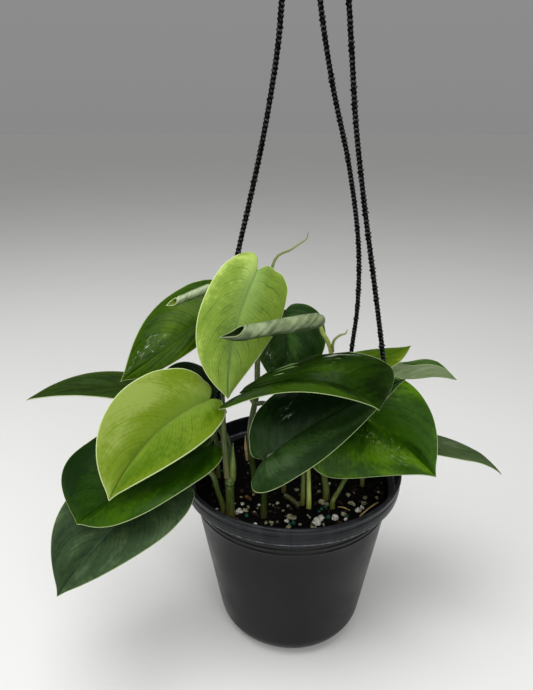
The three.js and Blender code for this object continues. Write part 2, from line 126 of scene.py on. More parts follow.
def add_piece(name, points, faces, materials, layers=None, face_materials=None, sharp=50):
    """One smooth-shaded mesh object from points in millimetres, with named vectors on its points."""
    mesh = bpy.data.meshes.new(name)
    mesh.from_pydata((np.asarray(points, float) * MM).tolist(), [], faces)
    for layer, values in (layers or {}).items():
        attribute = mesh.attributes.new(layer, "FLOAT_VECTOR", "POINT")
        attribute.data.foreach_set("vector", np.asarray(values, np.float32).ravel())
    for material in materials:
        mesh.materials.append(material)
    if face_materials is not None:
        mesh.polygons.foreach_set("material_index", face_materials)
    tidy = bmesh.new()
    tidy.from_mesh(mesh)
    bmesh.ops.remove_doubles(tidy, verts=tidy.verts, dist=2e-6)
    bmesh.ops.dissolve_degenerate(tidy, edges=tidy.edges, dist=1e-7)
    bmesh.ops.recalc_face_normals(tidy, faces=tidy.faces)
    tidy.to_mesh(mesh)
    tidy.free()
    mesh.shade_smooth()
    mesh.set_sharp_from_angle(angle=math.radians(sharp))
    return show(name, mesh)


def stand_in(piece, node):
    """The piece is shown in the place of a CAD node, which is hidden."""
    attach(piece, "root")
    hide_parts(node)


def circle(count):
    """Equally spaced angles all the way round."""
    return np.linspace(0, 2 * math.pi, count, endpoint=False)


def ring(radius, height, count):
    """Equally spaced points on a level circle round the Z axis."""
    return [(radius * math.cos(a), radius * math.sin(a), height) for a in circle(count)]


def grid_faces(rows, columns, start=0, around=False, flip=False):
    """Quads between neighbouring rows of points; around also joins the last column to the first."""
    faces = []
    for row in range(rows - 1):
        for column in range(columns if around else columns - 1):
            after = (column + 1) % columns
            a, b = start + row * columns + column, start + row * columns + after
            face = (a, b, b + columns, a + columns)
            faces.append(face[::-1] if flip else face)
    return faces


def fan(centre, first, count, flip=False):
    """Triangles from a centre point to a closed ring of points."""
    pairs = [(first + k, first + (k + 1) % count) for k in range(count)]
    return [(centre, b, a) if flip else (centre, a, b) for a, b in pairs]


def turned(outline, segments):
    """Points and faces of a body turned about Z from (radius, height) points that end on the axis."""
    points = [(0, 0, outline[0][1])]
    for radius, height in outline[1:-1]:
        points += ring(radius, height, segments)
    points.append((0, 0, outline[-1][1]))
    last = len(points) - 1
    faces = grid_faces(len(outline) - 2, segments, start=1, around=True)
    faces += fan(0, 1, segments, flip=True) + fan(last, last - segments, segments)
    return np.array(points, float), faces


def rounded(outline, radius, steps=4):
    """The outline with each inner corner turned into a small arc."""
    points = [np.asarray(p, float) for p in outline]
    result = [points[0]]
    for before, corner, after in zip(points, points[1:], points[2:]):
        ins, outs = before - corner, after - corner
        cut = min(radius, np.linalg.norm(ins) / 2.2, np.linalg.norm(outs) / 2.2)
        start, end = corner + unit(ins) * cut, corner + unit(outs) * cut
        for k in range(steps + 1):
            t = k / steps
            result.append(start * (1 - t) ** 2 + corner * 2 * t * (1 - t) + end * t ** 2)
    result.append(points[-1])
    return [tuple(p) for p in result]


def spokes(path, facing, angles):
    """Directions across the path at these angles round it, counted from the facing direction."""
    first, second = frames_along(path, facing)
    return (first[:, None] * np.cos(angles)[None, :, None]
            + second[:, None] * np.sin(angles)[None, :, None])


def streak_layer(angles, lengths):
    """Which way each point of a bar faces round it, as two numbers, and how far along the bar it is."""
    shape = (len(lengths), len(angles))
    parts = (np.cos(angles), np.sin(angles), np.asarray(lengths)[:, None])
    return np.stack([np.broadcast_to(part, shape) for part in parts], axis=-1)


def tube(path, radii, sides, facing=(0, -1, 0), section=None):
    """Closed round bar along a path: its points, faces and streak layer.

    radii is one number, one for each point of the path, or one for each point and side.
    section scales the radius by side.
    """
    angles = circle(sides)
    radii = np.asarray(radii, float)
    if radii.ndim < 2:
        radii = np.broadcast_to(radii, (len(path),))[:, None] * np.ones(sides)
    if section is not None:
        radii = radii * section(angles)[None, :]
    body = (path[:, None] + spokes(path, facing, angles) * radii[..., None]).reshape(-1, 3)
    points = np.vstack([body, path[0], path[-1]])
    faces = grid_faces(len(path), sides, around=True)
    faces += fan(len(body), 0, sides, flip=True) + fan(len(body) + 1, len(body) - sides, sides)
    lengths = lengths_along(path)
    ends = [(0, 0, lengths[0]), (0, 0, lengths[-1])]
    return points, faces, np.vstack([streak_layer(angles, lengths).reshape(-1, 3), ends])


def bar_piece(name, path, radii, sides, material, sharp=80, **shape):
    """A round bar as a piece, with its streak layer."""
    points, faces, streak = tube(path, radii, sides, **shape)
    return add_piece(name, points, faces, [material], {"streak": streak}, sharp=sharp)


def sheet(middle, normals, thickness, layers):
    """Closed thin solid from a grid of points, thickness/2 to each side along the normals.

    Each layer is a grid of vectors; the last value of the layer called blade becomes 1 on the upper
    side and 0 on the lower one.
    """
    rows, columns = middle.shape[:2]
    half = np.broadcast_to(thickness, (rows, columns))[..., None] / 2
    upper = (middle + normals * half).reshape(-1, 3)
    lower = (middle - normals * half).reshape(-1, 3)
    count = rows * columns
    faces = grid_faces(rows, columns) + grid_faces(rows, columns, start=count, flip=True)
    rim = [row * columns for row in range(rows)]
    rim += [(rows - 1) * columns + column for column in range(1, columns)]
    rim += [row * columns + columns - 1 for row in range(rows - 2, -1, -1)]
    rim += list(range(columns - 2, 0, -1))
    for a, b in zip(rim, rim[1:] + rim[:1]):
        faces.append((a, b, b + count, a + count))
    doubled = {}
    for name, values in layers.items():
        flat = values.reshape(-1, 3)
        below = flat.copy()
        if name == "blade":
            flat[:, 2] = 1
            below[:, 2] = 0
        doubled[name] = np.vstack([flat, below])
    return np.vstack([upper, lower]), faces, doubled


# ---------------------------------------------------------------- materials

def rgb(code):
    """Scene colour of a display colour written as a hexadecimal code."""
    shares = [int(code[k:k + 2], 16) / 255 for k in (0, 2, 4)]
    linear = [c / 12.92 if c <= 0.04045 else ((c + 0.055) / 1.055) ** 2.4 for c in shares]
    return (*linear, 1.0)


class Value:
    """What a node gives: a number, vector or colour. Arithmetic on numbers adds Math nodes."""

    def __init__(self, finish, socket):
        self.finish, self.socket = finish, socket

    def __add__(self, other):
        return self.finish.math("ADD", self, other)

    def __sub__(self, other):
        return self.finish.math("SUBTRACT", self, other)

    def __rsub__(self, other):
        return self.finish.math("SUBTRACT", other, self)

    def __mul__(self, other):
        return self.finish.math("MULTIPLY", self, other)

    def __abs__(self):
        return self.finish.math("ABSOLUTE", self)


class Finish:
    """Builds one material: each method up to noise adds a node and returns its result."""

    def __init__(self, name, specular):
        self.material = bpy.data.materials.new(name)
        self.material.use_nodes = True
        self.tree = self.material.node_tree
        self.shader = self.tree.nodes["Principled BSDF"]
        self.shader.inputs["Specular IOR Level"].default_value = specular

    def feed(self, socket, value):
        """Links a result to the socket, or sets the socket to a number or a display colour."""
        if isinstance(value, Value):
            self.tree.links.new(value.socket, socket)
        else:
            socket.default_value = rgb(value) if isinstance(value, str) else value

    def node(self, kind, inputs, **settings):
        node = self.tree.nodes.new("ShaderNode" + kind)
        for setting, value in settings.items():
            setattr(node, setting, value)
        for socket, value in inputs.items():
            self.feed(node.inputs[socket], value)
        return node

    def layer(self, name):
        return Value(self, self.node("Attribute", {}, attribute_name=name).outputs["Vector"])

    def place(self):
        """Where the point is, in metres."""
        return Value(self, self.node("TexCoord", {}).outputs["Object"])

    def split(self, vector):
        return [Value(self, socket) for socket in self.node("SeparateXYZ", {0: vector}).outputs]

    def join(self, x, y, z):
        return Value(self, self.node("CombineXYZ", {0: x, 1: y, 2: z}).outputs[0])

    def math(self, operation, *values):
        node = self.node("Math", dict(enumerate(values)), operation=operation)
        return Value(self, node.outputs[0])

    def step(self, value, low, high, start=0.0, end=1.0):
        """Smooth change from start to end while the value goes from low to high."""
        inputs = dict(enumerate((value, low, high, start, end)))
        return Value(self, self.node("MapRange", inputs, interpolation_type="SMOOTHSTEP").outputs[0])

    def mix(self, share, first, second):
        node = self.node("Mix", {0: share, 6: first, 7: second}, data_type="RGBA")
        return Value(self, node.outputs[2])

    def noise(self, vector, scale, detail=3.0, roughness=0.5, distortion=0.0):
        inputs = {"Vector": vector, "Scale": scale, "Detail": detail, "Roughness": roughness,
                  "Distortion": distortion}
        return Value(self, self.node("TexNoise", inputs).outputs["Fac"])

    def bump(self, height, distance, strength=1.0):
        """Relief of the given height in millimetres."""
        node = self.node("Bump", {"Strength": strength, "Distance": distance * MM, "Height": height})
        for normal in ("Normal", "Coat Normal"):
            self.tree.links.new(node.outputs[0], self.shader.inputs[normal])

    def colour(self, value):
        self.feed(self.shader.inputs["Base Color"], value)

    def roughness(self, value):
        self.feed(self.shader.inputs["Roughness"], value)

    def coat(self, weight, roughness):
        self.feed(self.shader.inputs["Coat Weight"], weight)
        self.shader.inputs["Coat Roughness"].default_value = roughness


def plastic_finish(name, dark, light, roughness, dust, worn=None):
    """Moulded black plastic: faint flow streaks, a fine orange-peel skin, dull patches and dust.

    worn is the greyer colour of the pot's handled rim, scuffed from the lip down. With it comes a
    painted highlight: a thin pale line along the lower edge of the lip.
    """
    finish = Finish(name, specular=0.16)
    place = finish.place()
    x, y, z = finish.split(place)
    streaks = finish.noise(finish.join(x, y, z * 0.06), 90, 3)
    patches = finish.noise(place, 22, 4, 0.6)
    specks = finish.step(finish.noise(place, 900, 2, 0.7), 0.66, 0.8)
    base = finish.mix(finish.step((streaks + patches) * 0.5, 0.35, 0.68), dark, light)
    if worn:
        scuffs = finish.noise(finish.join(x, y, z * 0.1), 260, 3, 0.6)
        starts, full, low, high, end, over = (
            (LIP_BOTTOM + above) * MM for above in (-1.7, 0.8, -0.1, 0.3, 0.7, 1.3))
        handled = finish.step(z, starts, full) * finish.step(scuffs, 0.3, 0.7, 0.3, 1.0)
        base = finish.mix(handled, base, worn)
        # Painted highlight: a thin pale line along the lower edge of the lip, broken up by the scuffs.
        edge = finish.step(z, low, high) * finish.step(z, end, over, 1.0, 0.0)
        base = finish.mix(edge * finish.step(scuffs, 0.35, 0.65, 0.1, 0.8), base, "6d7076")
    finish.colour(finish.mix(specks * dust, base, "8f8d88"))
    finish.roughness(finish.step(patches, 0.3, 0.75, roughness - 0.06, roughness + 0.12))
    finish.bump(finish.noise(place, 1400, 2) + streaks * 0.8, 0.05, 0.5)
    return finish.material


def mix_finish():
    """Damp peat: nearly black crumbs with brown fibres."""
    finish = Finish("peat", specular=0.08)
    crumbs = finish.noise(finish.place(), 420, 5, 0.7)
    fibres = finish.noise(finish.place(), 160, 4, 0.6, 2.5)
    base = finish.mix(finish.step(crumbs, 0.35, 0.7), "020201", "0b0806")
    finish.colour(finish.mix(finish.step(fibres, 0.62, 0.72), base, "221810"))
    finish.roughness(finish.step(crumbs, 0.4, 0.7, 0.95, 0.6))
    finish.bump(crumbs + fibres, 1.4)
    return finish.material


def grain_finish(name, low, high, stain, scale, relief, roughness):
    """Loose grains: two tones of one colour, stained in hollows."""
    finish = Finish(name, specular=0.3)
    place = finish.place()
    tone = finish.noise(place, scale, 4, 0.65)
    dirt = finish.noise(place, scale * 0.45, 3)
    base = finish.mix(finish.step(tone, 0.35, 0.65), low, high)
    finish.colour(finish.mix(finish.step(dirt, 0.55, 0.75, 0.0, 0.75), base, stain))
    finish.roughness(finish.step(tone, 0.3, 0.7, roughness - 0.1, roughness + 0.1))
    finish.bump(tone, relief)
    return finish.material


def stalk_finish(name, dark, light, foot):
    """Fleshy green stalk: fine streaks along it, small pale dots, and a browner foot."""
    finish = Finish(name, specular=0.5)
    around, beside, along = finish.split(finish.layer("streak"))
    streaks = finish.noise(finish.join(around, beside, along * 0.035), 5.5, 4, 0.6)
    blotches = finish.noise(finish.place(), 130, 3)
    dots = finish.step(finish.noise(finish.place(), 1500, 1), 0.68, 0.76, 0.0, 0.3)
    base = finish.mix(finish.step(streaks, 0.35, 0.66), dark, light)
    base = finish.mix(dots, base, "b9c47e")
    finish.colour(finish.mix(finish.step(along, 3.0, 16.0, 1.0, 0.0) * blotches, base, foot))
    finish.roughness(finish.step(blotches, 0.3, 0.7, 0.34, 0.52))
    finish.bump(streaks + blotches * 0.4, 0.25)
    return finish.material


def strand_finish():
    """Black plastic: a painted highlight on its ridge, painted shade nearly black between the turns."""
    finish = Finish("strand_plastic", specular=0.05)
    ridge, _, _ = finish.split(finish.layer("ridge"))
    scuffs = finish.noise(finish.place(), 700, 3, 0.6)
    # Painted highlight on the ridge and painted shade between the turns, both taken from the ridge height.
    finish.colour(finish.mix(finish.step(ridge + scuffs * 0.5, 0.7, 1.5), "010102", "3e3e41"))
    finish.roughness(finish.step(scuffs, 0.3, 0.7, 0.3, 0.5))
    finish.bump(scuffs, 0.08, 0.5)
    return finish.material


# The darker and the paler tone of a blade's lower side.
PALE_UNDER = ("8ba066", "b7c69c")
GREEN_UNDER = ("55703a", "7f9763")


def leaf_finish(name, seed, dark, body, light, under=GREEN_UNDER, midrib=None, heart=None,
                margin="9daf7a", glint_colour="a9b89a", mottle=1.6, side=0.0, tip=0.0, edge=0.2, veins=0.35,
                patches=(), rib_width=1.1, rib_share=0.55, rim=0.4, gloss=0.36, spots=(), wet=0.9,
                glint_strength=0.5, sheen=0.0):
    """Leaf blade: mottled along its veins, with midrib, side veins, pale margin and paler underside.

    The colours are display colours; heart is a tint along the midrib. side, tip and edge make the
    tone lighter towards the right half, the tip and the margin, and veins is the contrast of the side
    veins. patches are lighter (above 0) or darker places: mostly painted shade where other leaves
    shade the blade and painted highlights where its sheen catches the light, the rest the blade's own
    tone. spots are wet, crumpled places whose pale marks are painted glints. Both are given as
    (share, out, size in half-widths, strength).
    """
    finish = Finish(name, specular=0.05)
    share, out, upper = finish.split(finish.layer("blade"))
    from_rib, from_margin, _ = finish.split(finish.layer("reach"))
    spread = abs(out)
    place = finish.place()

    def near(at_share, at_out, size):
        """1 at a place on the blade, falling smoothly to 0 at a distance of size half-widths."""
        along, across = (share - at_share) * 1.6, out - at_out
        return finish.step(finish.math("SQRT", along * along + across * across), 0.0, size, 1.0, 0.0)

    vein = share - spread * spread * VEIN_SWEEP + finish.noise(place, 60, 2) * 0.018
    half = finish.math("SIGN", out) * 3.0
    blotches = finish.noise(finish.join(vein * 9.0, spread * 1.6, half + seed * 7.3), 1.0, 3, 0.55)
    threads = finish.noise(finish.join(vein * 70.0, spread, half), 1.0, 2)
    clouds = finish.noise(place, 34, 3, 0.55)
    grain = finish.noise(place, 330, 3, 0.6)
    coarse, fine = (
        finish.step(finish.math("PINGPONG", vein * count, 0.5), 0.0, width, 1.0, 0.0)
        for count, width in ((13.0, 0.1), (39.0, 0.2)))
    fade = finish.step(from_rib, 0.4, 5.0) * finish.step(from_margin, 0.5, 9.0, 0.25, 1.0)
    lines = (coarse * 0.6 + fine * 0.5) * fade

    tone = ((blotches - 0.5) * mottle + (threads - 0.5) * 0.16 + (clouds - 0.5) * 0.9
            + (grain - 0.5) * 0.7 + out * side + (share - 0.5) * tip)
    # Patches: painted shade where other leaves shade the blade, painted highlights where its sheen catches
    # the light, and some of the blade's own tone.
    for at_share, at_out, size, strength in patches:
        tone = tone + near(at_share, at_out, size) * strength
    tone = tone - lines * veins + finish.step(from_margin, 0.0, 7.0, edge, 0.0)

    colour = finish.mix(finish.step(tone, -0.55, 0.0), dark, body)
    colour = finish.mix(finish.step(tone, 0.0, 0.55), colour, light)
    if heart:
        tinted = finish.step(from_rib + threads * 4.0, 2.0, 17.0, 0.75, 0.0)
        colour = finish.mix(tinted * finish.step(share, 0.25, 0.8, 1.0, 0.3), colour, heart)
    colour = finish.mix(finish.step(from_rib, 0.25, rib_width, rib_share, 0.0), colour, midrib or dark)
    pale = finish.mix(finish.step(blotches + lines * 0.2, 0.3, 0.75), *under)
    colour = finish.mix(upper, pale, colour)
    rimmed = finish.step(from_margin + blotches * 0.25, rim * 0.6, rim * 1.4, 0.9, 0.0)
    colour = finish.mix(rimmed, colour, margin)

    cells = finish.noise(place, 1500, 2, 0.6)
    rough = finish.step(cells + blotches * 0.6, 0.55, 1.1, gloss - 0.06, gloss + 0.12)
    finish.roughness(rough + (1.0 - upper) * 0.16)

    relief = lines * -0.08 + cells * 0.08 + threads * 0.05
    coat = finish.step(clouds, 0.45, 0.7, 0.0, 0.05)
    # Painted glints: pale marks on the crumpled wet spots that stand in for their highlights.
    painted_glints = 0.0
    creases = finish.join(vein * 46.0, spread * 13.0, half)
    for at_share, at_out, size, depth in spots:
        here = near(at_share, at_out, size)
        crumple = finish.noise(creases, 1.0, 3, 0.65, 0.3)
        relief = relief + crumple * here * depth
        coat = finish.math("MAXIMUM", coat, here * finish.step(crumple, 0.48, 0.6, 0.1, wet))
        painted_glints = finish.math("MAXIMUM", painted_glints, here * finish.step(crumple, 0.56, 0.66, 0.0, glint_strength))
    finish.colour(finish.mix(upper * painted_glints, colour, glint_colour))
    finish.bump(relief, 1.0, 0.8)
    finish.coat(coat * upper, 0.16)
    finish.shader.inputs["Sheen Weight"].default_value = sheen
    finish.shader.inputs["Sheen Roughness"].default_value = 0.4
    return finish.material


def roll_finish(name, shell, core, margin):
    """Rolled young leaf: streaks winding round its pale outside, a darker inside, a wet, creased ridge, and
    a painted highlight on its upper side with painted shade on its lower side.
    """
    finish = Finish(name, specular=0.4)
    winding, out, inner = finish.split(finish.layer("blade"))
    along, from_margin, ridge = finish.split(finish.layer("reach"))
    place = finish.place()
    streaks = finish.noise(finish.join(winding * 24.0, out * 1.5, 0.0), 1.0, 4, 0.65)
    clouds = finish.noise(place, 75, 3)
    # ridge adds painted light: the roll's upper front is paler and its lower side darker.
    tone = (streaks + clouds) * 0.5 + ridge * 0.16
    outside = finish.mix(finish.step(tone, 0.42, 0.76), *shell)
    inside = finish.mix(finish.step(tone, 0.38, 0.62), *core)
    colour = finish.mix(inner, outside, inside)
    finish.colour(finish.mix(finish.step(from_margin, 0.3, 0.9, 0.8, 0.0), colour, margin))

    from_crease = abs(along - 0.68)
    creased = finish.step(ridge, 0.6, 0.95) * finish.step(from_crease, 0.05, 0.14, 1.0, 0.0)
    crumple = finish.noise(place, 420, 3, 0.6, 0.8)
    finish.bump(crumple * creased + streaks * 0.16, 1.0, 0.8)
    finish.roughness(finish.step(clouds, 0.3, 0.7, 0.28, 0.44))
    finish.coat(finish.math("MAXIMUM", creased * finish.step(crumple, 0.42, 0.56), 0.12), 0.12)
    return finish.material


# ---------------------------------------------------------------- pot

POT_HEIGHT, RIM_RADIUS, LEDGE_RADIUS = 131, 78, 71
LIP_BOTTOM, LEDGE_LEVEL = 118.2, 117
BASE_RADIUS, CORNER_RADIUS, WALL = 36, 18, 1.6
TAPER = math.radians(9.6)
SOIL_LEVEL = 114
DRAIN_CIRCLE, DRAIN_RADIUS = 27, 4


def body_radius(level):
    """Outer radius of the tapered wall."""
    return LEDGE_RADIUS - (LEDGE_LEVEL - level) * math.tan(TAPER)


def corner_arc(inset, steps=10):
    """Quarter round between the base and the tapered wall, offset inwards."""
    radius = CORNER_RADIUS - inset
    angles = np.linspace(0, math.pi / 2 - TAPER, steps)
    return [(BASE_RADIUS + radius * math.sin(a), CORNER_RADIUS - radius * math.cos(a)) for a in angles]


def rib(level, height):
    """Outline of one moulded ring that stands out from the wall."""
    wall = body_radius(level)
    return [(wall, level - 0.9), (wall + height, level - 0.35), (wall + height, level + 0.35),
            (wall, level + 0.9)]


def pot_outline():
    """(radius, height) points from the middle of the base round the wall and the lip to the inside."""
    side = [(0, 0), *corner_arc(0)]
    side += [(body_radius(level), level) for level in (40, 60, 80, 98)]
    for level in (105, 109, 113):
        side += rib(level, 0.45)
    side += [
        (LEDGE_RADIUS, LEDGE_LEVEL - 0.4), (LEDGE_RADIUS + 2.5, LIP_BOTTOM - 0.5), (76.8, LIP_BOTTOM),
        (77.0, 121), (77.35, 121.4), (77.45, 125), (77.1, 125.5), (77.3, 127.5), (RIM_RADIUS, 129),
        (RIM_RADIUS - 0.1, 130.3), (RIM_RADIUS - 1, POT_HEIGHT), (RIM_RADIUS - 2.2, POT_HEIGHT),
        (RIM_RADIUS - 2.8, 129.5), (RIM_RADIUS - 3.4, LIP_BOTTOM + 0.6), (LEDGE_RADIUS - 1.4, LEDGE_LEVEL),
        *corner_arc(WALL)[::-1], (0, WALL),
    ]
    return rounded(side, 0.45, 3)


def with_holes(piece, centres, radius):
    """Cuts round holes through the piece along Z."""
    cutter_mesh = bpy.data.meshes.new("drain_cutter")
    cutter_shape = bmesh.new()
    for x, y in centres:
        place = Matrix.Translation((x * MM, y * MM, 0))
        bmesh.ops.create_cone(cutter_shape, cap_ends=True, segments=32, radius1=radius * MM,
                              radius2=radius * MM, depth=20 * MM, matrix=place)
    cutter_shape.to_mesh(cutter_mesh)
    cutter_shape.free()
    cutter = show("drain_cutter", cutter_mesh)
    cut = piece.modifiers.new("holes", "BOOLEAN")
    cut.operation = "DIFFERENCE"
    cut.object = cutter
    bpy.context.view_layer.update()
    evaluated = piece.evaluated_get(bpy.context.evaluated_depsgraph_get())
    made = bpy.data.meshes.new_from_object(evaluated)
    piece.modifiers.remove(cut)
    piece.data = made
    bpy.data.objects.remove(cutter)
    made.shade_smooth()
    made.set_sharp_from_angle(angle=math.radians(50))


pot_finish = plastic_finish("pot_plastic", "030405", "0b0c0e", 0.34, 0.16, worn="1d1f23")
hanger_finish = plastic_finish("hanger_plastic", "020202", "060607", 0.3, 0.1)

pot_points, pot_faces = turned(pot_outline(), 180)
pot_piece = add_piece("nursery_pot", pot_points, pot_faces, [pot_finish], sharp=60)
drain_angles = [math.radians(60 * k + 30) for k in range(6)]
drains = [(DRAIN_CIRCLE * math.cos(a), DRAIN_CIRCLE * math.sin(a)) for a in drain_angles]
with_holes(pot_piece, drains, DRAIN_RADIUS)
stand_in(pot_piece, "pot")


# ---------------------------------------------------------------- potting mix

def soil_height(x, y):
    """Level of the mix, which is crumbly and a little hollow between the stalks."""
    broad = noise.noise(Vector((x / 26, y / 26, 3.1)))
    crumbs = noise.turbulence(Vector((x / 7, y / 7, 8.4)), 4, False)
    fine = noise.noise(Vector((x / 1.7, y / 1.7, 0.7)))
    return SOIL_LEVEL - 1.4 + 0.8 * broad + 1.5 * crumbs + 0.35 * fine


def lump(centre, size, flatness, seed, roughness, detail):
    """Points and faces of one rough grain."""
    shape = bmesh.new()
    bmesh.ops.create_icosphere(shape, subdivisions=detail, radius=1)
    shape.verts.ensure_lookup_table()
    turn = Matrix.Rotation(seed * 1.7, 3, "Z") @ Matrix.Rotation(seed * 0.9, 3, "X")
    points = []
    for vert in shape.verts:
        bulge = 1 + roughness * noise.noise(vert.co * 1.6 + Vector((seed * 3.1, 0, 0))) * 2
        local = turn @ (Vector((vert.co.x, vert.co.y * 0.8, vert.co.z * flatness)) * bulge)
        points.append(Vector(centre) + local * size)
    faces = [[v.index for v in face.verts] for face in shape.faces]
    shape.free()
    return points, faces


PEAT, PERLITE, AGED, PRILL, BARK, STRAW = range(6)

# Flatness and roughness of each kind of grain.
GRAIN_SHAPES = {PERLITE: (0.85, 0.32), AGED: (0.7, 0.36), PRILL: (1.0, 0.04), BARK: (0.45, 0.4)}

SCATTERED_GRAINS, SCATTER_RADIUS = 210, 66

# Grains that show between the stalks: kind, x, y and size.
SEEN_GRAINS = [
    (PERLITE, -37, -36.5, 2.6), (AGED, -33, -34.5, 2.3), (PERLITE, -23.5, -28, 1.2),
    (AGED, -24.5, -32, 0.9), (PERLITE, -25.5, -48, 1.3), (AGED, -18.5, -46.5, 1.3),
    (AGED, -15, -47, 1.7), (AGED, -11, -45, 1.1), (AGED, -2.5, -41, 2.5), (AGED, 0.5, -41.5, 1.7),
    (PERLITE, -5, -45, 1.5), (AGED, -4, -52, 2.1), (PERLITE, 15, -46, 3),
    (PERLITE, 18.5, -43, 2.2), (PERLITE, 16, -48.5, 1.6), (AGED, 12, -52, 1.9), (AGED, 20.5, -24.5, 2.5),
    (AGED, 23.5, -26, 1.8), (PERLITE, 27.5, -42.5, 2.5), (AGED, 34, -37.5, 2), (PERLITE, 34.5, -43.5, 1.5),
    (AGED, 40.5, -25, 1.9), (AGED, 42.5, -26.5, 1.3), (AGED, 49.5, -25.5, 1.9), (PERLITE, 44, -33.5, 2),
    (PERLITE, 47, -31.5, 1.7), (AGED, 39.5, -16, 1.7), (AGED, 51.5, -19, 1.5), (AGED, 59.5, -18.5, 1.2),
    (PERLITE, 27.5, -3.5, 1.2), (AGED, 3.5, -9, 1.7), (AGED, 19.5, -12, 1.5), (PERLITE, -52, -32, 0.9),
    (PERLITE, -10.5, -24.5, 1.3), (AGED, -13.5, -27, 0.9), (AGED, 9.5, -39.5, 0.9), (AGED, 4, -48.5, 1),
    (AGED, -27.5, -14.5, 1.1), (PRILL, -31.5, -40, 1.5), (PRILL, 22.5, -29, 1.6),
    (PRILL, 19.5, -32.5, 1.3), (PRILL, 17.5, -35.5, 1.2), (PRILL, 36, -39.5, 1.6), (PRILL, 23, -42, 1.7),
    (PRILL, -0.5, -47.5, 1.8), (PRILL, -3, -49, 1.2), (PRILL, -34.5, -25, 1.1), (BARK, 17, -7.5, 1.8),
    (BARK, -38, -42.5, 1.6), (BARK, 47, -23.5, 1.5), (BARK, -47, -47.5, 1.5), (BARK, -16, -34.5, 1.7),
    (BARK, 33, -24, 1.6), (BARK, 6.5, -54.5, 1.5), (BARK, -26.5, -38, 2),
]

# Straws: their two ends and their radius.
STRAWS = [
    ((44.5, -39.8), (58.9, -25.8), 0.55), ((31, -29.5), (38.5, -34), 0.4), ((20, 44), (38, 38), 0.45),
]


def potting_mix():
    """The mix up to the pot's inner wall, with loose grains and straws on its surface."""
    rings, segments = 62, 176
    inset = WALL + 0.5
    outer = body_radius(SOIL_LEVEL) - inset
    points = []
    for step in range(rings, 0, -1):
        points += [(x, y, soil_height(x, y)) for x, y, _ in ring(outer * step / rings, 0, segments)]
    points.append((0, 0, soil_height(0, 0)))
    start = len(points)
    faces = grid_faces(rings, segments, around=True) + fan(start - 1, start - 1 - segments, segments)
    faces += [(start + k, start + (k + 1) % segments, (k + 1) % segments, k) for k in range(segments)]
    lower = corner_arc(inset, 6)[::-1]
    for radius, height in lower:
        points += ring(radius, height, segments)
    last = len(points)
    points.append((0, 0, inset))
    faces += grid_faces(len(lower), segments, start=start, around=True, flip=True)
    faces += fan(last, last - segments, segments, flip=True)
    kinds = [PEAT] * len(faces)

    def add(kind, more_points, more_faces):
        first = len(points)
        points.extend(map(tuple, more_points))
        faces.extend([[first + k for k in face] for face in more_faces])
        kinds.extend([kind] * len(more_faces))

    def add_grain(kind, x, y, size, seed, detail):
        """A grain that lies a fifth of its size above the surface, measured at its centre."""
        flatness, roughness = GRAIN_SHAPES[kind]
        centre = (x, y, soil_height(x, y) + size * 0.2)
        add(kind, *lump(centre, size, flatness, seed, roughness, detail))

    for k, (kind, x, y, size) in enumerate(SEEN_GRAINS):
        add_grain(kind, x, y, size, k + 1, 3)
    scatter = random.Random(11)
    for k in range(SCATTERED_GRAINS):
        radius = SCATTER_RADIUS * math.sqrt(scatter.random())
        angle = scatter.uniform(0, 2 * math.pi)
        kind = scatter.choices((PERLITE, AGED, PRILL, BARK), (0.06, 0.16, 0.06, 0.72))[0]
        size = 1.3 if kind == PRILL else scatter.uniform(0.5, 1.8)
        add_grain(kind, radius * math.cos(angle), radius * math.sin(angle), size, 40 + k, 2)
    for (x0, y0), (x1, y1), radius in STRAWS:
        start = np.array((x0, y0, soil_height(x0, y0) + 0.6))
        end = np.array((x1, y1, soil_height(x1, y1) + 1.2))
        middle = (start + end) / 2 + (0, 0, 0.8)
        add(STRAW, *tube(spline([start, middle, end], 20), radius, 8)[:2])

    finishes = [
        mix_finish(),
        grain_finish("perlite", "9d9a8c", "e2e0d6", "4b463a", 520, 1.1, 0.85),
        grain_finish("aged_perlite", "5f5d45", "a5a283", "33301f", 460, 1.1, 0.85),
        grain_finish("slow_release_prill", "06301f", "0f5138", "04180f", 300, 0.1, 0.3),
        grain_finish("bark_chip", "120b06", "35200f", "080503", 350, 0.7, 0.8),
        grain_finish("straw", "8d7747", "b59f68", "3d3220", 260, 0.2, 0.6),
    ]
    return add_piece("potting_mix", points, faces, finishes, face_materials=kinds, sharp=80)


stand_in(potting_mix(), "soil")


# ---------------------------------------------------------------- hanger

HUB = (4, 2, 493)
SEAT_RADIUS = 76
CLIP_TOP = POT_HEIGHT + 2.3
STRAND_TOP = HUB[2] - 0.3
STRAND_RADIUS, RIDGE_PITCH = 1.4, 2.6

# The foot's angle round the pot in degrees, where the head meets the hub, and points between them.
strands = {
    "left": (188, (-5, -1), [
        (-66, -10.2, 151), (-57.2, -9.5, 166), (-51, -8.5, 188), (-47, -8, 220), (-42.5, -7.5, 251),
        (-34.9, -6.5, 289), (-28.8, -5.8, 314), (-18.8, -4.6, 359), (-11.8, -3.5, 401),
        (-9.5, -2.8, 426), (-4, -0.5, 465)]),
    "back": (56, (1, 5), [
        (46, 59, 160), (47.2, 53, 199), (48.7, 47, 234), (45.8, 39.4, 280), (35.4, 30.4, 334),
        (22, 22.5, 382), (12.8, 15.6, 424), (7, 10, 465)]),
    "right": (3, (5, -1), [
        (72, 7, 155), (66.5, 8, 181), (61.2, 6.5, 213), (52.4, 5.4, 261), (42.7, 4.2, 312),
        (34.8, 3, 359), (29.8, 2, 401), (26, 1.7, 430), (15, 1.2, 470)]),
}


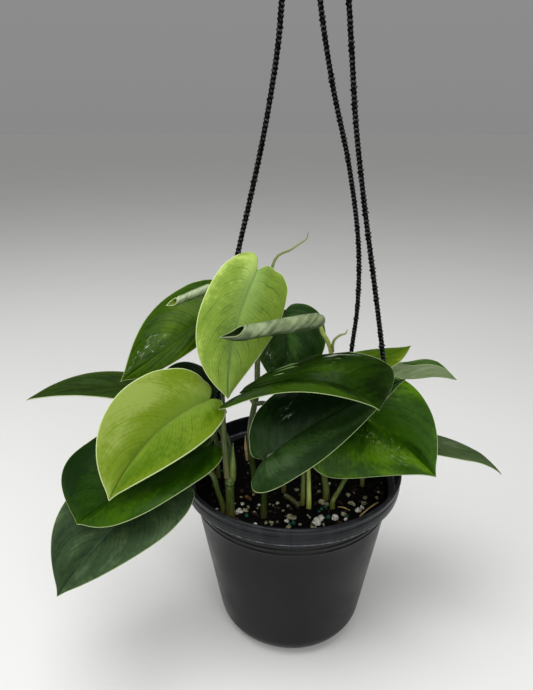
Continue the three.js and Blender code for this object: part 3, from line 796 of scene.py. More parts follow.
def ridged_strand(route, seed):
    """Moulded strand: a ridge winding round it, with two small barbs on each turn."""
    path, at = evenly(spline(route, 600), 0.4)
    angles = circle(14)
    winding = at[:, None] / RIDGE_PITCH + angles[None, :] / (2 * math.pi)
    number = np.floor(winding).astype(int)
    phase = winding - number
    jitter = random.Random(seed)
    sizes = np.array([jitter.uniform(0.7, 1.1) for _ in range(number.max() + 1)])
    turns = np.array([jitter.uniform(-0.7, 0.7) for _ in range(number.max() + 1)])
    tooth = np.where(phase < 0.6, phase / 0.6, (1 - phase) / 0.4) ** 1.4
    barbs = np.abs(np.cos(angles[None, :] - turns[number])) ** 4
    ends = smoothstep(0, 5, at) * smoothstep(0, 5, at[-1] - at)
    rise = tooth * sizes[number] * ends[:, None] * (0.5 + 1.3 * barbs)
    points, faces, streak = tube(path, STRAND_RADIUS + rise, len(angles))
    # The ridge layer holds the ridge height, from which the strand's finish paints its highlight and shade.
    ridge = np.zeros_like(streak)
    ridge[:rise.size, 0] = rise.ravel()
    return points, faces, {"streak": streak, "ridge": ridge}


def clip_piece(name, angle):
    """The clip's flat outline, 5 mm thick, with softened edges."""
    outer, inner = RIM_RADIUS + 0.3, RIM_RADIUS - 3.7
    barb_top = LIP_BOTTOM - 0.4
    outline = [
        (outer, 104), (outer + 2, 104), (outer + 2, CLIP_TOP), (inner - 2, CLIP_TOP), (inner - 2, 124),
        (inner, 124), (inner, 131.3), (outer, 131.3), (outer, barb_top), (outer - 3, barb_top),
        (outer, barb_top - 4),
    ]
    count = len(outline)
    points = [(x, y, z) for y in (-2.5, 2.5) for x, z in outline]
    faces = [list(range(count)), list(range(2 * count - 1, count - 1, -1))]
    faces += [(k, count + k, count + (k + 1) % count, (k + 1) % count) for k in range(count)]
    spin = np.array(Matrix.Rotation(angle, 3, "Z"))
    piece = add_piece(name, np.array(points) @ spin.T, faces, [hanger_finish], sharp=30)
    bevel = piece.modifiers.new("soft_edges", "BEVEL")
    bevel.width = 0.35 * MM
    bevel.segments = 3
    bevel.limit_method = "ANGLE"
    return piece


collar_finish = strand_finish()
for order, (side, (degrees, head, route)) in enumerate(strands.items()):
    angle = math.radians(degrees)
    x, y = SEAT_RADIUS * math.cos(angle), SEAT_RADIUS * math.sin(angle)
    top_x, top_y = HUB[0] + head[0], HUB[1] + head[1]
    whole = [(x, y, CLIP_TOP), (x, y, CLIP_TOP + 4), *route,
             (top_x, top_y, STRAND_TOP - 4), (top_x, top_y, STRAND_TOP + 0.3)]
    points, faces, layers = ridged_strand(whole, 20 + order)
    strand = add_piece(f"strand_{side}", points, faces, [collar_finish], layers, sharp=75)
    stand_in(strand, f"hanger_strand_{side}")
    stand_in(clip_piece(f"clip_{side}", angle), f"hanger_clip_{side}")

hub_outline = rounded([(0, 0), (7.5, 0), (9, 1.5), (9, 4), (8.2, 4.6), (5.2, 6.4), (3.8, 8), (0, 8)], 0.8)
hub_points, hub_faces = turned(hub_outline, 64)
hub_piece = add_piece("hub", hub_points + np.array(HUB), hub_faces, [hanger_finish])
stand_in(hub_piece, "hanger_hub")

HOOK_BEND, HOOK_THICKNESS = 13, 5.5
hook_foot = HUB[2] + 8.3
hook_centre = hook_foot + 20
hook_route = [(HUB[0], HUB[1], hook_foot - 0.3)]
for a in np.radians(range(-90, -336, -35)):
    hook_route.append((HUB[0] + HOOK_BEND * math.cos(a), HUB[1], hook_centre + HOOK_BEND * math.sin(a)))
hook_path, hook_at = evenly(spline(hook_route, 300), 0.8)
hook_radii = HOOK_THICKNESS / 2 * np.sqrt(np.clip((hook_at[-1] - hook_at) / 1.8, 0.05, 1))
hook = bar_piece("hook", hook_path, hook_radii, 20, hanger_finish, sharp=50, facing=(0, 1, 0))
stand_in(hook, "hanger_hook")


# ---------------------------------------------------------------- leaf blades

# Half outline of a heart-shaped blade: (along the midrib, across it), negative in the basal lobe.
HEART = [
    (0, 0), (-0.05, 0.06), (-0.115, 0.18), (-0.15, 0.36), (-0.135, 0.58), (-0.06, 0.79), (0.06, 0.93),
    (0.2, 0.99), (0.34, 1), (0.48, 0.93), (0.62, 0.78), (0.75, 0.56), (0.86, 0.32), (0.94, 0.12), (1, 0),
]
WIDEST = 0.34
LOBE_REACH = 0.15


class Blade:
    """Blade surface laid out by five points, as (along 0 to 1, across -1 to 1).

    lobes, full and flare have a number for the left and one for the right half: the reach of its basal
    lobe, a wider tip end if full is below 1, and a narrower foot if flare is above 0. droop is how far
    the tip hangs down.
    """

    def __init__(self, stalk, middle, tip, left, right, lobes=(1, 1), full=(1, 1), flare=(0, 0), droop=0):
        self.start, self.end = np.array(stalk, float), np.array(tip, float)
        self.control = 2 * np.array(middle, float) - (self.start + self.end) / 2
        self.lobes, self.full, self.flare = lobes, full, flare
        self.droop = np.array([0, 0, droop])
        self.halves = []
        for side, edge in enumerate((left, right)):
            point, tangent = self.midrib(np.array(WIDEST ** full[side]))
            self.halves.append((np.array(edge, float) - point, tangent))

    def midrib(self, along):
        """Points and directions of the midrib."""
        inner = np.maximum(along, 0)[..., None]
        first, second = self.control - self.start, self.end - self.control
        point = (self.start * (1 - inner) ** 2 + self.control * 2 * inner * (1 - inner)
                 + self.end * inner ** 2)
        point = point + 2 * np.minimum(along, 0)[..., None] * first
        hang = np.maximum(0, (inner - 0.7) / 0.3)
        tangent = first * (1 - inner) + second * inner - self.droop * hang / 0.3
        return point - self.droop * hang ** 2, unit(tangent)

    def half(self, side, along, spread):
        """Points and upper normals on one half."""
        inner = np.maximum(along, 0)
        shift = (1 - self.lobes[side]) * LOBE_REACH * np.minimum(1, spread / 0.38) * (1 - inner) ** 4
        place = np.where(along < 0, along, inner ** self.full[side]) + shift
        point, tangent = self.midrib(place)
        reach, level = self.halves[side]
        axis = np.cross(level, tangent)
        turned_once = np.cross(axis, reach)
        share = 1 / (1 + np.sum(level * tangent, axis=-1, keepdims=True))
        reach = reach + turned_once + np.cross(axis, turned_once) * share
        normal = unit(np.cross(tangent, reach)) * (1 if side == 0 else -1)
        narrowing = 1 - self.flare[side] * (1 - np.clip(place, 0, 1)) ** 2
        return point + reach * (spread * narrowing)[..., None], normal


def blade_piece(name, blade, seed, material, arch=(2, 2), pleat=0.25, wave=0.5, waves=2):
    """Fine solid of one leaf blade, with its fold, arched halves, pleats and wavy margin.

    arch, pleat and wave are heights in millimetres, arch one for the left half and one for the right.
    waves is the number of waves along the margin.
    """
    rows, columns = 84, 22
    share = np.linspace(0, 1, rows + 1)
    rim = spline([(a, b, 0) for a, b in HEART], rows + 1, uniform=True)
    vein = share ** 2.4
    out = np.linspace(0, 1, columns + 1) ** 0.9
    along = vein[:, None] + (rim[:, 0] - vein)[:, None] * out[None, :]
    spread = np.maximum(rim[:, 1][:, None] * out[None, :], 1e-6)
    left, right = (blade.half(side, along, spread) for side in (0, 1))
    middle_normal = unit(left[1][:, :1] + right[1][:, :1])
    points = np.concatenate([left[0][:, :0:-1], left[0][:, :1], right[0][:, 1:]], axis=1)
    normals = np.concatenate([left[1][:, :0:-1], middle_normal, right[1][:, 1:]], axis=1)
    outs = np.concatenate([-out[:0:-1], out])[None, :] * np.ones((rows + 1, 1))
    shares = share[:, None] * np.ones(2 * columns + 1)
    steps = np.linalg.norm(np.diff(points, axis=1), axis=2)
    to_left = np.cumsum(steps[:, columns - 1::-1], axis=1)[:, ::-1]
    to_right = np.cumsum(steps[:, columns:], axis=1)
    from_rib = np.concatenate([to_left, np.zeros((rows + 1, 1)), to_right], axis=1)
    from_margin = np.where(outs < 0, to_left[:, :1], to_right[:, -1:]) - from_rib

    spreads = np.abs(outs)
    body = np.sin(math.pi * np.clip(shares, 0, 1)) ** 0.7
    bow = 4 * spreads * (1 - spreads) * body
    phase = shares - VEIN_SWEEP * spreads ** 2
    lift = bow * (np.where(outs < 0, *arch) + pleat * np.cos(2 * math.pi * 11 * phase))
    ripple = np.sin(2 * math.pi * (waves * shares + 0.13 * seed + 0.31 * (outs < 0)))
    lift += wave * ripple * spreads ** 3 * body
    lift -= 0.4 * bell(from_rib, 0.9) * smoothstep(0, 0.2, shares)
    points = points + normals * lift[..., None]
    points[0], points[-1] = blade.midrib(share[[0, -1]])[0][:, None]
    normals[0], normals[-1] = normals[1, columns], normals[-2, columns]

    thickness = 0.5 - 0.16 * spreads + 0.9 * bell(from_rib, 0.8) * (1 - shares) ** 1.5
    layers = {
        "blade": np.stack([shares, outs, np.ones_like(outs)], axis=-1),
        "reach": np.stack([from_rib, from_margin, np.zeros_like(outs)], axis=-1),
    }
    solid, faces, doubled = sheet(points, normals, thickness, layers)
    return add_piece(name, solid, faces, [material], doubled, sharp=75)


# ---------------------------------------------------------------- stalks

def rooted(stem):
    """A stem from the mix starts a little inside it and rises straight for 5 mm."""
    (x, y, z), *rest = stem
    if z > SOIL_LEVEL:
        return stem
    return [(x, y, SOIL_LEVEL - 2.5), (x, y, SOIL_LEVEL + 5), *rest]


def stalk_route(blade, stem, radius, over, ahead, rise):
    """The stem's points, then the bend up to the blade and a short way along its midrib.

    over and ahead tell the side of the blade that the stalk comes from: its upper side if above 0, and
    from ahead of its foot. rise is the height of the bend.
    """
    here, beyond = np.array(0.05), np.array([0.02, 0.06, 0.11])
    left, right = (blade.half(side, here, np.array(1e-6))[1] for side in (0, 1))
    normal = unit(left + right)
    start, tangent = blade.midrib(np.array(0.0))
    away = unit(normal * over + tangent * ahead)
    rib, _ = blade.midrib(beyond)
    if over > 0:
        tucked = rib[:1]
    else:
        tucked = rib - normal * np.array([[0.65], [0.5], [0.35]]) * radius
    return [*rooted(stem), start + away * (0.9 + rise), start + away * (0.35 * rise), *tucked]


def channelled(angles):
    """Stalk section with a shallow channel on its inner side."""
    return 1 - 0.3 * bell((angles + math.pi) % (2 * math.pi) - math.pi, 0.55)


def stalk_piece(name, route, radius, material, knee=1.12, tip=0.3):
    """Fleshy stalk: broad foot, slim middle, a slight knee below the blade and a tapered end."""
    path, at = evenly(spline(route, 400), 0.8)
    share, left = at / at[-1], at[-1] - at
    radii = radius * (1 + 0.18 * (1 - smoothstep(0, 0.18, share)) - 0.05 * smoothstep(0.2, 0.7, share))
    radii *= 1 + (knee - 1) * bell(left - 13, 5)
    radii *= tip + (1 - tip) * smoothstep(0, 9, left)
    inward = (-route[0][0] - 20, -route[0][1], 0)
    return bar_piece(name, path, radii, 16, material, facing=inward, section=channelled)


# The olive and dark stalk finishes are darker copies of the green one: painted shade for stalks that stand
# in the leaves' shade, with the olive also a duller green.
stalk_green = stalk_finish("stalk_green", "36480f", "6d8234", "6a5a2c")
stalk_olive_shaded = stalk_finish("stalk_olive_shaded", "2c3a0f", "57682c", "5c4e26")
stalk_deep_shaded = stalk_finish("stalk_deep_shaded", "1a2607", "3e5016", "463a1c")
stalk_pale = stalk_finish("stalk_pale", "5c6e30", "93a15c", "80703c")
stalk_young = stalk_finish("stalk_young", "8b9f3c", "bccb70", "8a8a3c")

# Each leaf's stem is the route of its stalk from the mix up, and bend is the over, ahead and rise of
# the stalk's upper end. relief shapes the blade's surface and skin colours it, its patches painting
# shade and highlights on the blade as well as some of its own tone.
leaves = {
    "tall_front": dict(
        blade=Blade(stalk=(-24, -13, 275), middle=(-38, -32, 241), tip=(-42, -40, 200),
                    left=(-9.5, -17.5, 243), right=(-60, -31.5, 249.5), lobes=(0.3, 0.95),
                    full=(0.8, 0.92)),
        stem=[(-26, -12, 114), (-29.5, -12, 150), (-29, -12, 167), (-25, -7, 188), (-24, -1, 215),
              (-21, 2, 240), (-21, -2, 262)],
        radius=2, stalk=stalk_olive_shaded, slot="leaf_light",
        relief=dict(arch=(2, 2.5), pleat=0.12, wave=0.7, waves=2.2),
        skin=dict(dark="4f6b24", body="738e33", light="a6bc5f", under=PALE_UNDER, midrib="56743b",
                  rib_width=2.2, rib_share=0.5, heart="8ba75e", margin="cedb9c", rim=0.6, veins=0.28,
                  mottle=0.85, side=0.05, tip=-0.3, edge=0.15, gloss=0.46,
                  patches=[(0.7, 0.2, 0.5, -0.2), (0.05, 0.5, 0.7, 0.55), (0.25, 0.2, 0.4, 0.45),
                           (0.35, -0.75, 0.4, 0.1)])),
    "behind_new": dict(
        blade=Blade(stalk=(-5, 25, 237), middle=(-5, 14, 213), tip=(-10, 8, 182), left=(23, 16, 216),
                    right=(-30, 22, 221), lobes=(0.8, 1)),
        stem=[(6.8, -27, 114), (7, -12, 150), (2, 14, 190), (-4, 34, 226)],
        relief=dict(pleat=0.2, wave=0.6),
        # The lighter patches on this blade are painted highlights.
        skin=dict(dark="0f1e08", body="1b330e", light="33501f", gloss=0.3,
                  patches=[(0.68, -0.25, 0.35, 0.4), (0.5, -1, 0.3, 0.5)],
                  spots=[(0.83, -0.07, 0.16, 1.6), (0.77, 0.63, 0.22, 2)])),
    "upper_left": dict(
        blade=Blade(stalk=(-47, 20, 242), middle=(-82, -5, 223), tip=(-113, -20, 203),
                    left=(-71, -8, 217), right=(-87.5, 25, 247), lobes=(1, 0.6)),
        stem=[(-44, 2, 114), (-48.5, 14, 137), (-50.5, 28, 165), (-51, 34, 195), (-48, 30, 222)],
        radius=1.8, stalk=stalk_olive_shaded,
        relief=dict(arch=(2.5, 2.5), wave=0.8, waves=2.4),
        skin=dict(dark="183002", body="2d4802", light="435e07", midrib="122803", rim=0.6, gloss=0.3,
                  patches=[(0.6, 0.35, 0.5, 0.3), (0.8, -0.4, 0.4, 0.15), (0.4, 0.9, 0.4, -0.3)],
                  spots=[(0.88, 0.58, 0.2, 2.2), (0.82, 0.48, 0.2, 2.2), (0.78, 0.22, 0.17, 2)],
                  glint_strength=0.9, glint_colour="b4c4a2")),
    "far_left": dict(
        blade=Blade(stalk=(-91, 12, 176), middle=(-138, 0, 191), tip=(-183, -5, 182),
                    left=(-120, -14.5, 188), right=(-113, 23, 190.5), lobes=(0.2, 1), full=(1, 1.3)),
        stem=[(-56, -4, 114), (-62, 4, 145), (-80, 15, 162)],
        radius=1.7, stalk=stalk_olive_shaded,
        relief=dict(arch=(1.5, 2), pleat=0.35),
        skin=dict(dark="152607", body="273c0d", light="3a4e19", margin="b4c095", rim=0.6, gloss=0.4)),
    "left_shaded": dict(
        blade=Blade(stalk=(-53, 12, 173), middle=(-74, 2, 185), tip=(-88, -5.5, 174),
                    left=(-70, -5.5, 176), right=(-76, 24, 199), lobes=(1, 0.2)),
        stem=[(-54, 8, 114), (-55, 12, 140)],
        radius=1.7,
        relief=dict(arch=(1.5, 2)),
        # Its colours are darker than the other leaves' to paint the shade it lies in.
        skin=dict(dark="0a1804", body="112507", light="1c3610", gloss=0.38)),
    "left_light": dict(
        blade=Blade(stalk=(-56, -25, 192), middle=(-89, -53, 179), tip=(-112, -75, 150),
                    left=(-61, -60, 177), right=(-106, -40, 207.5), lobes=(0.3, 0.4)),
        stem=[(-43.6, -39.3, 143), (-45.6, -35.5, 166), (-47.5, -31, 182)],
        radius=2, stalk=stalk_olive_shaded, slot="leaf_light",
        relief=dict(arch=(3, 3.5), pleat=0.1, wave=0.7, waves=1.8),
        skin=dict(dark="466503", body="667e1a", light="819341", under=PALE_UNDER, midrib="8aa052",
                  rib_share=0.5, heart="74903a", margin="c5d398", rim=0.65, veins=0.2, mottle=0.9,
                  side=0.25, tip=-0.35, gloss=0.42,
                  patches=[(0.6, 0.7, 0.5, 0.45), (0.34, 0.3, 0.4, 0.2), (0.88, -0.5, 0.5, -0.45),
                           (0.27, -0.7, 0.4, -0.3), (0.28, 0.95, 0.5, -0.3)])),
    "left_dark": dict(
        blade=Blade(stalk=(-57, -28, 160), middle=(-99, -55, 150), tip=(-134, -72, 131),
                    left=(-85, -77, 146), right=(-141, -41, 159.7), lobes=(0.45, 0.8), full=(0.8, 0.45),
                    flare=(0, -0.45)),
        stem=[(-40.6, -35.8, 143), (-41.6, -31.5, 158), (-46, -29, 171), (-50.5, -28, 173)],
        stalk=stalk_deep_shaded, bend=(1, -0.7, 4),
        relief=dict(arch=(2.5, 2.5), pleat=0.1, wave=0.6, waves=1.7),
        skin=dict(dark="0c2300", body="193600", light="325300", veins=0.12, mottle=1.1,
                  patches=[(0.68, 0.73, 0.6, -0.4), (0.48, 1, 0.5, -0.3), (0.75, -0.7, 0.5, 0.4)])),
    "left_lowest": dict(
        blade=Blade(stalk=(-89, -42, 137), middle=(-118, -72, 122), tip=(-146, -88, 90),
                    left=(-79, -76, 127), right=(-146, -52, 135), lobes=(0.6, 1)),
        stem=[(-47.6, -37, 114), (-50.6, -37, 131), (-54, -37, 144), (-63, -36, 149), (-74, -36, 147)],
        radius=1.8, stalk=stalk_olive_shaded, bend=(1, -1, 5),
        relief=dict(arch=(2.5, 2.5), pleat=0.35, wave=0.9, waves=2.6),
        skin=dict(dark="1d2e1a", body="2e4126", light="4b5f3e", midrib="4a6350", rib_share=0.45,
                  veins=0.25, gloss=0.42, sheen=0.06,
                  patches=[(0.5, -0.8, 0.5, 0.3), (0.86, 0.8, 0.5, -0.2)])),
    "centre_arched": dict(
        blade=Blade(stalk=(-29, -35, 203), middle=(15, -50, 217), tip=(49, -55, 200),
                    left=(60, -26, 217.6), right=(2, -67, 217.5), lobes=(0.4, 0.8), full=(0.2, 0.6),
                    flare=(0.72, 0)),
        stem=[(-6, -12, 114), (-8, -10, 150), (-18, -16, 184)],
        stalk=stalk_olive_shaded, bend=(-1, 0.15, 8),
        relief=dict(arch=(1.5, 1), waves=2.1),
        skin=dict(dark="0d1e01", body="193001", light="2e4904", veins=0.2, side=0.1, gloss=0.34,
                  patches=[(0.44, 0.6, 0.5, 0.45), (0.6, -0.25, 0.5, -0.4), (0.65, 0.7, 0.45, 0.45),
                           (0.85, 0, 0.4, -0.1)],
                  spots=[(0.4, -0.93, 0.12, 1.2)])),
    "centre_front": dict(
        blade=Blade(stalk=(-19, -55, 167), middle=(24, -33, 186), tip=(76, -5, 198),
                    left=(6, -20.5, 201.5), right=(13, -61, 167.5), lobes=(0.6, 0.88), flare=(-0.28, 0)),
        stem=[(-20, -40, 114), (-19, -42, 145)],
        radius=2, stalk=stalk_deep_shaded,
        relief=dict(arch=(2, 2.5), pleat=0.2, wave=0.8, waves=2.3),
        # The darker patches on this blade are painted shade under the arched leaf above it.
        skin=dict(dark="091805", body="172c0d", light="2c441d", veins=0.15, mottle=1.2, gloss=0.3,
                  patches=[(0.56, -0.5, 0.6, -0.6), (0.48, -1, 0.5, -0.4), (0.8, -0.4, 0.5, -0.5),
                           (0.53, 0.4, 0.6, 0.4), (0.28, 0.57, 0.5, 0.15)],
                  spots=[(0.48, -0.57, 0.13, 1.4), (0.48, -0.42, 0.1, 1.2)], glint_strength=0.25)),
    "right_glossy": dict(
        blade=Blade(stalk=(27, -4, 182), middle=(64.5, -18, 164), tip=(92, -42, 145),
                    left=(78, -3.5, 195), right=(19, -43, 147), lobes=(0.2, 0.6), full=(1.5, 1)),
        stem=[(23.4, -20, 114), (21, -14, 140)],
        radius=2.3, slot="leaf_bright",
        relief=dict(arch=(3, 3), pleat=0.15, wave=0.6),
        # The darkest patch is a painted shadow from the leaf above; the bright patch and pale spots are
        # painted highlights.
        skin=dict(dark="112a00", body="254501", light="486d03", midrib="4a6a14", veins=0.12, gloss=0.28,
                  patches=[(0.82, 0.35, 0.55, 0.8), (0.48, 0.2, 0.6, -0.9), (0.62, 0.7, 0.4, 0.3),
                           (0.65, -0.6, 0.4, 0.2), (0.9, -0.5, 0.4, -0.3)],
                  spots=[(0.8, 0.27, 0.3, 2), (0.7, 0.23, 0.2, 1.6), (0.87, 0.47, 0.25, 2)], wet=0.5,
                  glint_strength=0.55, glint_colour="9db05a")),
    "right_upper": dict(
        blade=Blade(stalk=(27, 24, 199), middle=(59, 28, 200), tip=(88, 36, 206.5), left=(50, 42, 199.5),
                    right=(61, 12, 196.5), full=(1, 0.6)),
        stem=[(19, 38, 114), (20, 44, 150), (22, 36, 182)],
        slot="leaf_bright",
        relief=dict(arch=(1.5, 1.5), pleat=0.2),
        skin=dict(dark="2c4301", body="415c02", light="66771b", veins=0.25, gloss=0.4)),
    "right_back": dict(
        blade=Blade(stalk=(66, 42, 186), middle=(92, 50, 174), tip=(131, 54, 180), left=(100, 63, 184),
                    right=(97.5, 42, 189), full=(1.1, 0.7), droop=9),
        stem=[(51, -4, 114), (52, 16, 130), (55, 46, 152), (61, 48, 172)],
        slot="leaf_underside",
        relief=dict(arch=(1, 1), pleat=0.2, wave=0.8, waves=2.2),
        skin=dict(dark="243b12", body="3a5522", light="5b7440", under=("7f9660", "a3b28c"), veins=0.2,
                  gloss=0.42)),
    "far_right": dict(
        blade=Blade(stalk=(84, 18, 143), middle=(121, 8, 136.5), tip=(152, -3, 127.5),
                    left=(120, 26, 134.5), right=(98, -5, 140.5), lobes=(1, 0.1), droop=6),
        stem=[(27, -31, 114), (31, -26, 123), (40, -16, 132), (62, 12, 135)],
        relief=dict(arch=(1, 1), pleat=0.3, wave=0.4),
        skin=dict(dark="253b17", body="40522e", light="5b684b", veins=0.2, gloss=0.42)),
    "back_centre": dict(
        blade=Blade(stalk=(1, 34, 157), middle=(7, 70, 157), tip=(14, 98, 149), left=(-11, 58, 153),
                    right=(18, 58, 152)),
        stem=[(0, 22, 114), (1, 26, 138)],
        skin=dict(dark="1f3d0a", body="30530f", light="4c6f20", veins=0.2)),
    "back_left": dict(
        blade=Blade(stalk=(-65, 35, 156), middle=(-82, 58, 159), tip=(-97, 80, 148), left=(-86, 44, 148),
                    right=(-68, 66, 160)),
        stem=[(-46, 22, 114), (-51, 27, 136)],
        skin=dict(dark="1f3d0a", body="30530f", light="4c6f20", veins=0.2)),
}

for seed, (name, leaf) in enumerate(leaves.items(), 1):
    skin = leaf_finish(f"leaf_{name}_skin", seed, **leaf["skin"])
    piece = blade_piece(f"blade_{name}", leaf["blade"], seed, skin, **leaf.get("relief", {}))
    stand_in(piece, f"leaf_{name}")
    radius = leaf.get("radius", 1.6)
    route = stalk_route(leaf["blade"], leaf["stem"], radius, *leaf.get("bend", (-1, 0, 8)))
    stalk = stalk_piece(f"petiole_{name}", route, radius, leaf.get("stalk", stalk_green))
    stand_in(stalk, f"stalk_{name}")


# ---------------------------------------------------------------- new leaves still rolled up

ROLL_PROFILE = [(0, 0), (0.01, 0.6), (0.07, 0.95), (0.2, 1), (0.45, 0.97), (0.7, 0.84), (0.88, 0.5), (1, 0)]


def roll_piece(name, material, base, tip, girth, turn, loosen):
    """A leaf rolled round its long axis: one sheet in a spiral that opens towards its tip."""
    base, tip = np.array(base, float), np.array(tip, float)
    length = np.linalg.norm(tip - base)
    axis = (tip - base) / length
    side = unit(np.cross(axis, (0, 0, 1)))
    top = np.cross(side, axis)
    rows, columns = 70, 60
    share = np.linspace(0, 1, rows + 1)
    girths = np.interp(share, *zip(*ROLL_PROFILE))[:, None] * girth
    outs = np.linspace(-1, 1, columns + 1)[None, :] * np.ones((rows + 1, 1))
    opened = smoothstep(0.62, 0.88, share)[:, None]
    wound = 1.7 - loosen * opened
    angles = turn + math.pi * wound * outs
    inner = 1 - 0.17 * (1 + outs) * smoothstep(0.8, 1.6, wound)
    radius = np.maximum(girths * inner * (1 + 0.25 * opened) - 0.25, 0.02)
    radial = side * np.cos(angles)[..., None] + top * np.sin(angles)[..., None]
    points = base + axis * (share[:, None, None] * length) + radial * radius[..., None]
    shares = share[:, None] * np.ones(columns + 1)
    from_margin = (1 - np.abs(outs)) * np.maximum(girths, 0.5) * 3
    # The last value of reach is highest on the roll's upper front: the finish paints light there and shade
    # on the lower side, and it places the wet crease.
    layers = {
        "blade": np.stack([shares - 0.47 * outs, outs, np.ones_like(outs)], axis=-1),
        "reach": np.stack([shares, from_margin, np.cos(angles - 2.3)], axis=-1),
    }
    solid, faces, doubled = sheet(points, -radial, 0.4, layers)
    return add_piece(name, solid, faces, [material], doubled, sharp=80)


rolls = {
    "new_rolled": dict(
        roll=dict(base=(17, -25, 247), tip=(-45, -62, 249), girth=5.6, turn=4.75, loosen=1.15),
        skin=dict(shell=("2f401c", "8f9e74"), core=("22340f", "465d22"), margin="98a678"),
        stem=[(10.7, -31, 114), (11, -16, 140), (13, -2, 170), (22.5, -6, 203), (23.9, -12, 218.4),
              (22.2, -16, 226.2), (19.4, -20.5, 233), (16.6, -24.4, 238.4), (15.2, -26, 242.65),
              (14.8, -26.2, 244)],
        radius=1.5),
    "new_small": dict(
        roll=dict(base=(-53, 4, 260), tip=(-82, -12, 252), girth=3.2, turn=5.3, loosen=1.2),
        skin=dict(shell=("465a31", "a3b288"), core=("647e10", "95aa34"), margin="adba86"),
        stem=[(-26, 2, 222), (-31, 4, 234), (-40, 6, 250), (-47, 5.5, 258), (-50.1, 5.6, 260.8),
              (-54.3, 3.3, 259.7)],
        radius=1.1),
}
for name, young in rolls.items():
    skin = roll_finish(f"{name}_skin", **young["skin"])
    stand_in(roll_piece(f"roll_{name}", skin, **young["roll"]), f"leaf_{name}")
    stalk = stalk_piece(f"petiole_{name}", rooted(young["stem"]), young["radius"], stalk_young,
                        knee=1, tip=0.85)
    stand_in(stalk, f"stalk_{name}")


# ---------------------------------------------------------------- stem, sheaths, shoots and stubs

def main_stem():
    """Short upright stem with a ring scar below its top."""
    route = [(-42.4, -40, SOIL_LEVEL - 2.5), (-42.4, -40, 128), (-42.3, -39.8, 143.6)]
    path, at = evenly(spline(route, 120), 0.5)
    level = path[:, 2]
    radii = 2.9 + 0.35 * bell(level - 139.5, 1.1) + 0.3 * bell(level - SOIL_LEVEL, 4)
    radii -= 0.22 * bell(level - 137.6, 0.5)
    radii *= np.sqrt(np.clip((at[-1] - at) / 1.6, 0.15, 1))
    return bar_piece("stem", path, radii, 24, stalk_olive_shaded)


def wrap_piece(name, route, width, thickness, material, curl, point):
    """A thin sheath: a strap curled round its length that narrows to a point at its end."""
    path, at = evenly(spline(route, 200), 0.6)
    share = at / at[-1]
    narrowing = (0.75 + 0.25 * smoothstep(0, 0.15, share)) * (1 - smoothstep(1 - point, 1.02, share))
    bends = np.linspace(-curl, curl, 19)
    across = spokes(path, (0, -1, 0), bends) * (width * narrowing + 0.06)[:, None, None]
    layers = {"streak": streak_layer(bends, at + 12)}
    solid, faces, doubled = sheet(path[:, None] + across, unit(across), thickness, layers)
    return add_piece(name, solid, faces, [material], doubled, sharp=80)


dried_finish = grain_finish("dried_sheath", "8f7a45", "cdb583", "5f4a24", 240, 0.3, 0.7)
cork_finish = grain_finish("cut_stub", "3c2a18", "80502c", "1e140c", 320, 0.5, 0.8)

stand_in(main_stem(), "stem_main")
sheath = wrap_piece("sheath_green", [(-40, -40.2, 141.5), (-39.8, -39.8, 155), (-39.5, -39, 168.8)],
                    1.75, 0.45, stalk_green, curl=1.7, point=0.7)
stand_in(sheath, "sheath_main")
bract = wrap_piece("sheath_brown", [(-31.6, -13.2, 140), (-32.4, -13.2, 149), (-32.8, -13.2, 160)],
                   0.85, 0.3, dried_finish, curl=1.4, point=0.6)
stand_in(bract, "sheath_dried")

# Shoots and stubs: node, piece, slot, finish, route, and a radius for each point of the route.
twigs = [
    ("shoot_upper", "thread_upper", "sheath", stalk_pale,
     [(-17.8, 1.2, 252), (-15, 1, 272), (-11, 1, 281), (-3, 1, 285), (3, 1, 289), (7, 1, 292), (8, 1, 296)],
     [1.0, 1.0, 0.95, 0.9, 0.75, 0.55, 0.2]),
    ("shoot_right", "thread_right", "sheath", stalk_pale,
     [(24.5, -16.8, 222.7), (23.9, -19, 228.1), (24.5, -20, 231.5), (26.1, -20, 233.5), (28.7, -20, 235.3),
      (31.5, -20, 236.2), (32.6, -20, 238.9)],
     [0.85, 0.95, 0.9, 0.85, 0.75, 0.6, 0.2]),
    ("stub_left", "chip_left", "dried", cork_finish,
     [(-28.9, -25.3, 115.6), (-31, -24.5, 117.2), (-33.1, -25.4, 118.4)], [0.8, 1.2, 1.3, 0.8]),
    ("stub_centre", "cut_stalk", "stalk", stalk_deep_shaded,
     [(4.5, -31, 114.6), (-1, -27, 117.2), (-5.6, -23.6, 118.3)], [1.7, 1.7, 1.8, 1.75]),
]
for node, name, slot, material, route, route_radii in twigs:
    path, at = evenly(spline(route, 200), 0.5)
    radii = np.interp(at, np.linspace(0, at[-1], len(route_radii)), route_radii)
    stand_in(bar_piece(name, path, radii, 14, material, sharp=70), node)


# ---------------------------------------------------------------- floor, light and camera

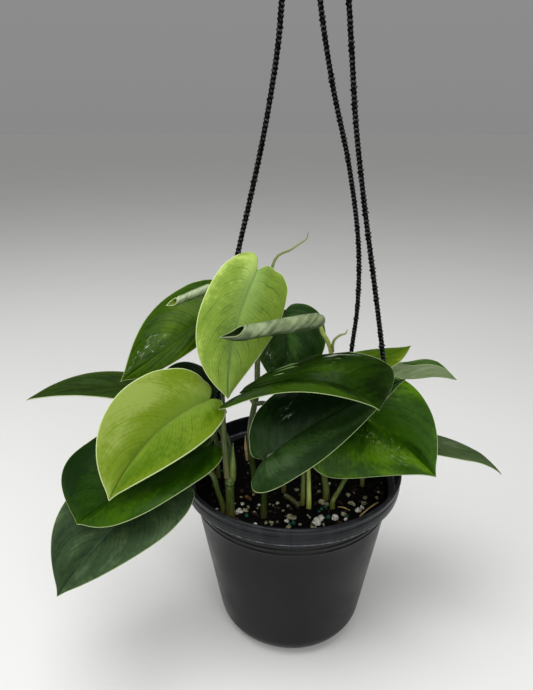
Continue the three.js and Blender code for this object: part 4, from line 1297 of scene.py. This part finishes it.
def floor():
    """Wide pale disc just under the pot."""
    finish = Finish("floor_paper", specular=0.3)
    finish.colour(finish.mix(finish.noise(finish.place(), 3, 2), "e6e6e4", "ececea"))
    finish.roughness(0.7)
    shape = bmesh.new()
    bmesh.ops.create_circle(shape, cap_ends=True, segments=128, radius=14)
    mesh = bpy.data.meshes.new("floor")
    shape.to_mesh(mesh)
    shape.free()
    mesh.materials.append(finish.material)
    made = show("floor", mesh)
    made.location.z = -0.0003


def soft_light(name, place, size, power):
    """A round lamp that shines on the plant."""
    data = bpy.data.lights.new(name, "AREA")
    data.shape = "DISK"
    data.size = size
    data.energy = power
    lamp = show(name, data)
    lamp.location = place
    lamp.rotation_euler = (Vector((0, 0, 0.16)) - Vector(place)).to_track_quat("-Z", "Y").to_euler()


floor()
soft_light("overhead", (-0.25, -0.25, 1.5), 1.2, 15)
soft_light("front_fill", (0.25, -1.35, 1.0), 1.2, 11)
soft_light("left_fill", (-1.3, -0.5, 0.8), 0.9, 4)

world = bpy.data.worlds.new("studio")
world.use_nodes = True
sky = world.node_tree
direction = sky.nodes.new("ShaderNodeTexCoord")
height = sky.nodes.new("ShaderNodeSeparateXYZ")
shade = sky.nodes.new("ShaderNodeMapRange")
shade.inputs["To Min"].default_value = 0.25
shade.inputs["To Max"].default_value = 0.34
sky.links.new(direction.outputs["Generated"], height.inputs[0])
sky.links.new(height.outputs["Z"], shade.inputs["Value"])
sky.links.new(shade.outputs[0], sky.nodes["Background"].inputs["Color"])
bpy.context.scene.world = world
bpy.context.scene.view_settings.view_transform = "Standard"

FOCAL_PIXELS, FRAME_PIXELS, LOOK_DOWN = 600, 690, 20.9
lens = bpy.data.cameras.new("camera")
lens.sensor_fit = "AUTO"
lens.sensor_width = 36
lens.lens = lens.sensor_width * FOCAL_PIXELS / FRAME_PIXELS
camera = show("camera", lens)
camera.location = (-0.0182, -0.3752, 0.3641)
camera.rotation_euler = (math.radians(90 - LOOK_DOWN), 0, 0)
bpy.context.scene.camera = camera
